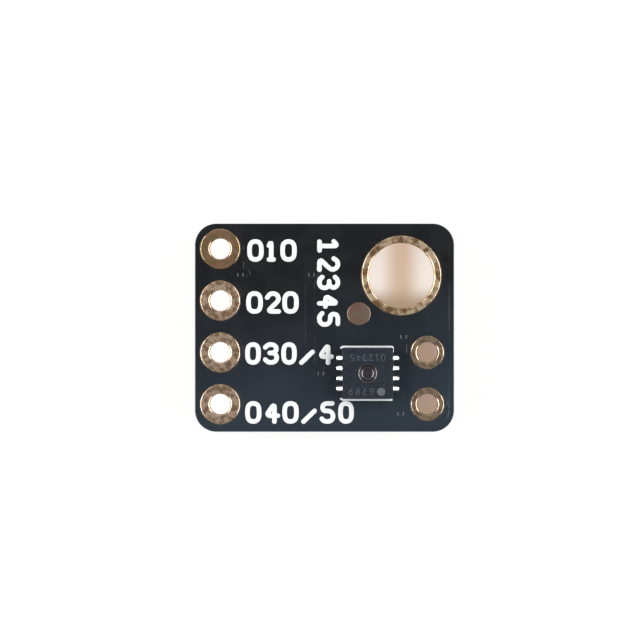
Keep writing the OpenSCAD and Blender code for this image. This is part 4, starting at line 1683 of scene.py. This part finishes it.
@dataclass
class Chip:
    """The sensor chip: case, leads, marks and solder. Sizes are in millimetres.

    The port's shelf turns up over shelf_round: how far in the turn starts, and its two heights.
    circle, square and the second numbers of face_rings and ceiling are the powers of the case's
    rings, as build_case explains. pocket is half the width of the hollow under the case.
    mark_rows holds each row's text, right end, middle and pitch, mark_box the width and height of
    a figure, dot the dot's X, Y and radius, and dot_edge how far in and down its edge is broken.
    """

    throat: float = 0.23
    rim: float = 0.48
    edge: float = 0.018
    lip: float = 0.1
    lip_start: float = 155.0
    shelf: float = 0.335
    shelf_depth: float = 0.19
    shelf_round: tuple[float, float, float] = (0.004, 0.001, 0.006)
    neck: float = 0.08
    face_rings: tuple[tuple[float, float], ...] = ((0.56, 2.2), (0.7, 3.0), (0.9, 5.0), (1.1, 12.0))
    circle: float = 2.0
    square: float = 70.0
    port_points: int = 16
    edge_points: int = 6
    sole: float = 1.0
    pocket: float = 0.87
    ceiling: tuple[float, float] = (0.45, 10.0)
    side_leads: int = 4
    lead_pitch: float = 0.5
    land_w: float = 0.285
    lead_l: float = 0.35
    lead_bevel: float = 0.008
    die_bevel: float = 0.005
    film_bevel: float = 0.002
    mark_w: float = 0.045
    mark_sink: float = 0.004
    mark_drop: float = 0.0005
    mark_rows: tuple[tuple[str, float, float, float], ...] = (
        ("012345", 2.98, -1.47, 0.3), ("6789", 2.42, -3.12, 0.34),
    )
    mark_box: tuple[float, float] = (0.22, 0.34)
    dot: tuple[float, float, float] = (2.77, -3.14, 0.2)
    dot_edge: tuple[float, float] = (0.002, 0.001)
    dot_points: int = 64

    def __post_init__(self) -> None:
        """Read the chip's place and size from the frame."""
        low, high = node_box("chip_case")
        self.middle = (low + high)[:2] / 2
        self.half = float(high[0] - low[0]) / 2
        self.low, self.top = float(low[2]), float(high[2])
        self.die_top = float(node_box("sensor_die")[1][2])
        self.land_top = float(node_box("chip_lands")[1][2])

    def build(self) -> None:
        """Make the chip's pieces."""
        self.build_case()
        self.build_solder()
        self.build_marks()
        dress_node("chip_leads", TIN, self.lead_bevel * MM)
        dress_node("die_paddle", PADDLE)
        dress_node("die_glue", ADHESIVE)
        dress_node("sensor_die", SILICON, self.die_bevel * MM)
        dress_node("humidity_film", FILM, self.film_bevel * MM)

    def turns(self, steps: int = 320) -> Array:
        """Angles round the chip, closer together at the corners of the square.

        Their density is 1 plus crowd times a bell curve of the angle from the nearest corner.

        Args:
            steps: how many angles there are.

        Returns:
            The angles.
        """
        crowd, spread, samples = 9.0, radians(1.6), 8001
        fine = np.linspace(0.0, tau, samples)
        corner = np.abs(fine % (pi / 2) - pi / 4)
        density = 1.0 + crowd * np.exp(-((corner / spread) ** 2))
        along = np.concatenate([[0.0], np.cumsum((density[1:] + density[:-1]) / 2)])
        return np.interp(np.linspace(0.0, along[-1], steps, endpoint=False), along, fine)

    def build_case(self) -> None:
        """The moulded case as one ring-shaped skin.

        Its section runs from the die up the throat, round the neck onto a narrow shelf, up the
        flare, over the rounded rim and out across the top, then down the side and back in below.
        So each ring is a circle near the port and close to a square outside. A ring with size a
        and power p lies at the radius a divided by the p-th root of |cos|^p + |sin|^p. The skin is
        smoother inside the rim and polished inside the shelf.
        """
        turn = self.turns()
        e, half = self.edge, self.half
        top, low = self.top - self.mark_sink, self.low
        lip, neck, square = self.lip, self.neck, self.square
        shelf_z = top - self.shelf_depth
        turn_in, turn_low, turn_high = self.shelf_round
        port = [(self.throat, self.die_top), (self.throat, (self.die_top + shelf_z - neck) / 2)]
        count = self.port_points
        port += arc((self.throat + neck, shelf_z - neck), neck, 180.0, 90.0, count).tolist()
        port += [(self.shelf - turn_in, shelf_z + turn_low), (self.shelf, shelf_z + turn_high)]
        port += arc((self.rim, top - lip), lip, self.lip_start, 90.0, count).tolist()
        side = arc((half - e, top - e), e, 90.0, 0.0, self.edge_points).tolist()
        side.append((half, (top + low) / 2))
        side += arc((half - e, low + e), e, 0.0, -90.0, self.edge_points).tolist()
        side += [(self.sole, low), (self.pocket, low), (self.pocket, self.die_top)]
        section = [(r, z, self.circle) for r, z in port]
        section += [(r, top, p) for r, p in self.face_rings]
        section += [(r, z, square) for r, z in side]
        section.append((self.ceiling[0], self.die_top, self.ceiling[1]))
        r, z, p = np.array(section).T[:, :, None]
        c, s = np.abs(np.cos(turn))[None, :], np.abs(np.sin(turn))[None, :]
        reach = r / (c**p + s**p) ** (1 / p)
        x = self.middle[0] + reach * np.cos(turn)
        y = self.middle[1] + reach * np.sin(turn)
        points = np.stack([x, y, np.broadcast_to(z, x.shape)], axis=-1).reshape(-1, 3) * MM
        faces = grid_faces(len(section), len(turn), True, True)
        case = place_piece("moulded_case", points, [faces], EPOXY, ["chip_case"], sharp=35.0).data
        case.materials.append(PORT_RIM.material())
        case.materials.append(PORT_GLOSS.material())
        centres = np.empty(len(case.polygons) * 3, np.float32)
        case.polygons.foreach_get("center", centres)
        reach = np.hypot(*(centres.reshape(-1, 3)[:, :2] / MM - self.middle).T)
        finish = (reach < self.rim).astype(np.int32) + (reach < self.shelf)
        case.polygons.foreach_set("material_index", finish)

    def build_solder(self) -> None:
        """The bright solder at the leads, and the film of it under them and under the paddle."""
        order = (self.side_leads - 1) / 2 - np.arange(self.side_leads)
        rows = self.middle[1] + order * self.lead_pitch
        _, high = node_box("chip_solder")
        toe = float(high[0]) - self.middle[0] - self.half
        film = self.low - self.land_top
        height = float(high[2]) - self.land_top
        grids = solder_joint(
            self.lead_l, toe, film, height, self.land_w, power=1.0, fall=2.6, narrow=0.97,
        )
        joints = [
            between(*[self.seat_joint(grid, side, y) for grid in grids])
            for side in (-1, 1) for y in rows
        ]
        pad_low, pad_high = node_box("die_paddle")
        half_w, half_d = (pad_high - pad_low)[:2] / 2
        u, v = np.meshgrid([-half_w, half_w], [-half_d, half_d], indexing="ij")
        sheet = np.stack([self.middle[0] + u, self.middle[1] + v, np.full_like(u, self.land_top)], axis=-1)
        joints.append(between((sheet + [0, 0, film]) * MM, sheet * MM))
        place_piece("lead_solder", *joined(joints), SOLDER, ["chip_solder"], sharp=50.0)

    def seat_joint(self, grid: Array, side: int, y: float) -> Array:
        """Carry a solder surface to a lead: outward along X on that side, at height of the land."""
        x = self.middle[0] + side * (self.half + grid[..., 0])
        return np.stack([x, y + grid[..., 1], self.land_top + grid[..., 2]], axis=-1) * MM

    def build_marks(self) -> None:
        """The faint marks on the case: plain figures that read upside down, and a round dot."""
        crown = self.top - self.mark_drop
        sunk = crown - 2 * self.mark_sink
        wide, half_high = self.mark_box[0], self.mark_box[1] / 2
        parts = []
        for text, right, y, pitch in self.mark_rows:
            for i, character in enumerate(text):
                x = right - i * pitch
                figure = Figure(character, x - wide, x, y - half_high, y + half_high, turn=180.0)
                parts += figure.strokes(self.mark_w, sunk, crown)
        place_piece("case_figures", *joined(parts), LASER_MARK, sharp=60.0)
        x, y, radius = self.dot
        edge_in, edge_drop = self.dot_edge
        rings = np.array([AXIS, radius / 2, radius - edge_in, radius, radius, AXIS])
        heights = np.array([crown, crown, crown, crown - edge_drop, sunk, sunk])
        profile = np.column_stack([rings, heights]) * MM
        points, faces = lathe(profile, (x * MM, y * MM), self.dot_points)
        place_piece("case_dot", points, faces, DOT_MARK, sharp=60.0)


def solder_joint(
    under: float, toe: float, film: float, height: float, width: float, power: float, fall: float,
    narrow: float,
) -> tuple[Array, Array]:
    """One solder joint as a top and a base surface, in millimetres.

    u runs outward from the part's end face and v across it. Under the part the joint is a film.
    Outside, its height is height times (1 - u / toe) to the given power, and falls off towards
    both sides as the root of 1 - |v|^fall, but never below the skin. Its width goes as the root
    of 1 - narrow (u / toe)^2. The points along u crowd towards the part's end.

    Args:
        under: length of the film under the part.
        toe: length of the joint outside the part.
        film: thickness under the part.
        height: height of the joint on the part's end.
        width: width of the joint.
        power: how hollow the joint is along u.
        fall: how square it is across v.
        narrow: how far it is rounded off at the toe, below 1.

    Returns:
        Grids of points for the top and for the base.
    """
    skin, step, crowd, rows, columns = 0.004, 0.002, 1.3, 22, 19
    u = np.concatenate([[-under, -step], np.linspace(0.0, 1.0, rows) ** crowd * toe])
    v = np.sin(np.radians(np.linspace(-90.0, 90.0, columns)))
    out = np.clip(u / toe, 0.0, 1.0)
    tall = np.where(u < 0, film, np.maximum(height * (1 - out) ** power, 0.0))
    side = (1 - np.abs(v) ** fall) ** 0.5
    tops = np.where(u[:, None] < 0, film, skin + (tall[:, None] - skin).clip(0.0) * side[None, :])
    half = width / 2 * (1 - narrow * out**2) ** 0.5
    x = np.broadcast_to(u[:, None], tops.shape)
    y = half[:, None] * v[None, :]
    top = np.stack([x, y, tops], axis=-1)
    base = np.stack([x, y, np.zeros_like(tops)], axis=-1)
    return top, base


# Parts on the back


@dataclass
class BackParts:
    """Resistors and capacitor on the back face. Sizes are in millimetres."""

    end_l: float = 0.3
    capacitor_end_l: float = 0.25
    body_bevel: float = 0.02
    glaze_bevel: float = 0.005
    end_bevel: float = 0.007
    capacitor_bevel: float = 0.03

    def __post_init__(self) -> None:
        """Read the face of the lands from the frame."""
        self.face = float(node_box("back_lands")[0][2])

    def build(self) -> None:
        """Dress each part, and make its solder."""
        for part in ("resistor_1", "resistor_2", "resistor_3"):
            dress_node(part + "_body", ALUMINA, self.body_bevel * MM)
            dress_node(part + "_glaze", GLAZE, self.glaze_bevel * MM)
            dress_node(part + "_ends", TIN, self.end_bevel * MM)
            self.build_solder(part, self.end_l)
        dress_node("capacitor_body", CERAMIC, self.capacitor_bevel * MM)
        dress_node("capacitor_ends", TIN, self.end_bevel * MM)
        self.build_solder("capacitor", self.capacitor_end_l)

    def build_solder(self, part: str, under: float) -> None:
        """The two joints of a part, which hang from the lands and climb its ends.

        Args:
            part: the part's name.
            under: length of its end metal, which the solder's film covers.
        """
        low, high = node_box(part + "_ends")
        joint_low, joint_high = node_box(part + "_solder")
        middle, size = (low + high) / 2, high - low
        lying = size[0] > size[1]
        length, width = (size[0], size[1]) if lying else (size[1], size[0])
        reach = (joint_high - joint_low)[0 if lying else 1] / 2
        toe = float(reach - length / 2)
        film = self.face - float(high[2])
        height = self.face - float(joint_low[2])
        grids = solder_joint(
            under, toe, film, height, float(width), power=1.9, fall=8.0, narrow=0.4,
        )
        joints = []
        for side in (-1, 1):
            seated = []
            for grid in grids:
                out, across = side * (length / 2 + grid[..., 0]), grid[..., 1]
                x, y = (out, across) if lying else (across, out)
                place = [middle[0] + x, middle[1] + y, self.face - grid[..., 2]]
                seated.append(np.stack(place, axis=-1) * MM)
            joints.append(between(*seated))
        place_piece(part + "_joints", *joined(joints), SOLDER, [part + "_solder"], sharp=50.0)


# Studio


@dataclass(frozen=True)
class PaintedBoreLight:
    """Painted light on the floor under one plated bore. Lengths are in millimetres.

    It stands in for the light that the bore's walls throw down on the floor. Under the fixing hole it
    is painted pale along the sides, in the gold's colour in the middle and darker towards the front,
    as painted shade.
    """

    x: float
    y: float
    radius: float
    middle: Colour
    side: Colour
    front: Colour


def painted_bore_light_group() -> bpy.types.NodeTree:
    """The painted light and shade of the floor under a bore, laid over the colour that is given.

    Each pair says where one colour starts to give way to the next and where it is gone, in radii
    from the bore's middle: to the sides, to the front, and outwards at the bore's own edge.

    Returns:
        The node group.
    """
    side, front, rim = (0.05, 0.75), (0.25, 0.95), (1.02, 1.05)
    inputs = {"Place": None, "Radius": 0.001, "Under": WHITE}
    inputs |= {"Middle": GREY, "Side": GREY, "Front": GREY}
    kit, given, out = new_group("bore_light", inputs, {"Colour": tuple})
    parts = kit.add("ShaderNodeSeparateXYZ", {0: given["Place"]})
    u = kit.math("DIVIDE", kit.math("ABSOLUTE", parts.outputs[0]), given["Radius"])
    v = kit.math("DIVIDE", kit.math("MULTIPLY", parts.outputs[1], -1.0), given["Radius"])
    colour = kit.blend(kit.ramp(u, *side), given["Middle"], given["Side"])
    colour = kit.blend(kit.ramp(v, *front), colour, given["Front"])
    reach = kit.math("SQRT", kit.math("ADD", kit.math("MULTIPLY", u, u), kit.math("MULTIPLY", v, v)))
    colour = kit.blend(kit.ramp(reach, *rim), colour, given["Under"])
    kit.tree.links.new(colour, out.inputs["Colour"])
    return kit.tree


@dataclass
class Studio:
    """Floor, soft lamps, room light and camera. Lengths are in metres.

    Each change of the room's light starts and is full at the first two numbers, as shares of the
    way along its direction, and adds the third.
    """

    camera_height: float = 0.5
    pixels_per_mm: float = 20.4
    picture: int = 640
    board_pixel: tuple[float, float] = (324.5, 327.7)
    plane_height: float = 0.0021
    room_level: float = 0.31
    room_fall: tuple[float, float, float] = (0.25, 0.6, -0.18)
    room_crown: tuple[float, float, float] = (0.82, 0.97, -0.08)
    back_rise: tuple[float, float, float] = (0.6, 0.85, 0.7)
    front_rise: tuple[float, float, float] = (0.7, 0.9, 0.4)
    lamp_level: float = 5.6
    lamp_place: tuple[float, float, float] = (0.36, 0.02, 0.27)
    lamp_size: tuple[float, float] = (0.5, 0.26)
    floor_size: float = 3.0
    floor_drop: float = 0.00003
    floor_shaded: float = 0.85
    floor_shown: float = 1.05
    floor_share: float = 0.17

    def build(self) -> None:
        """Make everything that isn't part of the object."""
        self.set_view()
        self.build_world()
        self.build_floor()
        self.build_lamps()
        self.build_camera()

    def set_view(self) -> None:
        """Plain colours, as they are written."""
        bpy.context.scene.view_settings.view_transform = "Standard"

    def seen(self, kit: Tree) -> bpy.types.NodeSocket:
        """1 for what the camera sees, straight or through a clear body, and 0 for light."""
        path = kit.add("ShaderNodeLightPath").outputs
        return kit.math("MAXIMUM", path["Is Camera Ray"], path["Is Transmission Ray"])

    def build_world(self) -> None:
        """A dim room that is white where it is seen.

        It is a little darker straight above and to the front and the back, but for a bright patch
        low at the back and a weaker one low at the front.
        """
        world = bpy.data.worlds.new("room")
        bpy.context.scene.world = world
        world.use_nodes = True
        world.node_tree.nodes.clear()
        kit = Tree(world.node_tree)
        direction = kit.add("ShaderNodeTexCoord").outputs["Generated"]
        _, y, z = kit.add("ShaderNodeSeparateXYZ", {0: direction}).outputs
        level = self.room_level
        changes = [
            (kit.math("ABSOLUTE", y), self.room_fall), (z, self.room_crown),
            (y, self.back_rise), (kit.math("MULTIPLY", y, -1.0), self.front_rise),
        ]
        for along, (start, full, change) in changes:
            level = kit.math("ADD", level, kit.math("MULTIPLY", kit.ramp(along, start, full), change))
        lit = kit.add("ShaderNodeBackground", {0: WHITE, 1: level})
        white = kit.add("ShaderNodeBackground", {0: WHITE, 1: 1.0})
        mix = kit.add("ShaderNodeMixShader", {0: self.seen(kit), 1: lit.outputs[0], 2: white.outputs[0]})
        kit.add("ShaderNodeOutputWorld", {0: mix.outputs[0]})

    def painted_bore_lights(self) -> list[PaintedBoreLight]:
        """One patch of painted light for each plated hole.

        Returns:
            The patches.
        """
        # Painted light: brighter than white under the header holes; tan, cream and bronze under the
        # others, brown as painted shade at the front
        white, cream = (1.2, 1.18, 1.17), (0.95, 0.86, 0.78)
        tan, brown, bronze = (0.72, 0.52, 0.38), (0.46, 0.33, 0.22), (0.46, 0.32, 0.24)
        kinds = {
            "fixing": (tan, cream, brown), "header": (white, white, white),
            "side": (bronze, bronze, brown),
        }
        out = []
        for name in ("fixing_eyelet", *HEADER, *SIDE):
            hole = Hole.of(name)
            out.append(PaintedBoreLight(*hole.at, hole.bore, *kinds[name.split("_")[0]]))
        return out

    def build_floor(self) -> None:
        """A pale floor that is white where it is seen, and keeps the object's shadow.

        The camera sees mostly a plain white, with a share of the floor's real shading in it.
        """
        s, z = self.floor_size / 2, -self.floor_drop
        mesh = bpy.data.meshes.new("floor")
        mesh.from_pydata([(-s, -s, z), (s, -s, z), (s, s, z), (-s, s, z)], [], [(0, 1, 2, 3)])
        floor = bpy.data.objects.new("floor", mesh)
        bpy.context.scene.collection.objects.link(floor)
        material = bpy.data.materials.new("pale_floor")
        mesh.materials.append(material)
        material.use_nodes = True
        material.node_tree.nodes.clear()
        kit = Tree(material.node_tree)
        shaded = kit.add("ShaderNodeBsdfDiffuse", {0: (*[self.floor_shaded] * 3, 1.0)})
        place = kit.add("ShaderNodeTexCoord").outputs["Object"]
        colour = (*[self.floor_shown] * 3, 1.0)
        group = painted_bore_light_group()
        # Under each plated bore the colour shown is painted light and shade
        for light in self.painted_bore_lights():
            offset = {0: place, 1: (light.x * MM, light.y * MM, 0.0)}
            around = kit.add("ShaderNodeVectorMath", offset, operation="SUBTRACT").outputs[0]
            values = {"Place": around, "Radius": light.radius * MM, "Under": colour}
            values |= {"Middle": (*light.middle, 1.0), "Side": (*light.side, 1.0)}
            values["Front"] = (*light.front, 1.0)
            colour = kit.group(group, values).outputs["Colour"]
        shown = kit.add("ShaderNodeEmission", {0: colour, 1: 1.0})
        share = kit.math("MULTIPLY", self.seen(kit), 1.0 - self.floor_share)
        mix = kit.add("ShaderNodeMixShader", {0: share, 1: shaded.outputs[0], 2: shown.outputs[0]})
        kit.add("ShaderNodeOutputMaterial", {0: mix.outputs[0]})

    def build_lamps(self) -> None:
        """A large soft lamp on each side. A lamp's power is its level times its area times pi."""
        width, length = self.lamp_size
        for name, side in (("left_lamp", -1), ("right_lamp", 1)):
            lamp = bpy.data.lights.new(name, "AREA")
            lamp.shape = "RECTANGLE"
            lamp.size, lamp.size_y = width, length
            lamp.energy = self.lamp_level * width * length * pi
            x, y, z = self.lamp_place
            place = Vector((side * x, y, z))
            holder = bpy.data.objects.new(name, lamp)
            holder.location = place
            holder.rotation_euler = (-place).to_track_quat("-Z", "Y").to_euler()
            holder.visible_camera = False
            bpy.context.scene.collection.objects.link(holder)

    def build_camera(self) -> None:
        """A long lens straight above, moved aside so that the board lies where it should."""
        camera = bpy.data.cameras.new("camera")
        width = self.picture / self.pixels_per_mm * MM
        camera.sensor_width = 36.0
        camera.lens = camera.sensor_width * (self.camera_height - self.plane_height) / width
        camera.clip_start, camera.clip_end = 0.01, 10.0
        holder = bpy.data.objects.new("camera", camera)
        aside = [(p - self.picture / 2) / self.pixels_per_mm * MM for p in self.board_pixel]
        holder.location = (-aside[0], aside[1], self.camera_height)
        bpy.context.scene.collection.objects.link(holder)
        bpy.context.scene.camera = holder


def corners(box: tuple[Vector, Vector]) -> list[list[float]]:
    """A box's two corners as plain lists."""
    return [[float(x) for x in corner] for corner in box]


def main() -> None:
    """Build the looks in order."""
    logging.basicConfig(level=logging.INFO, format="%(name)s: %(message)s")
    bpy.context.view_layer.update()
    for assembly in (Board(), PlatedHoles(), Print(), Chip(), BackParts(), Studio()):
        assembly.build()


if __name__ == "__main__":
    main()
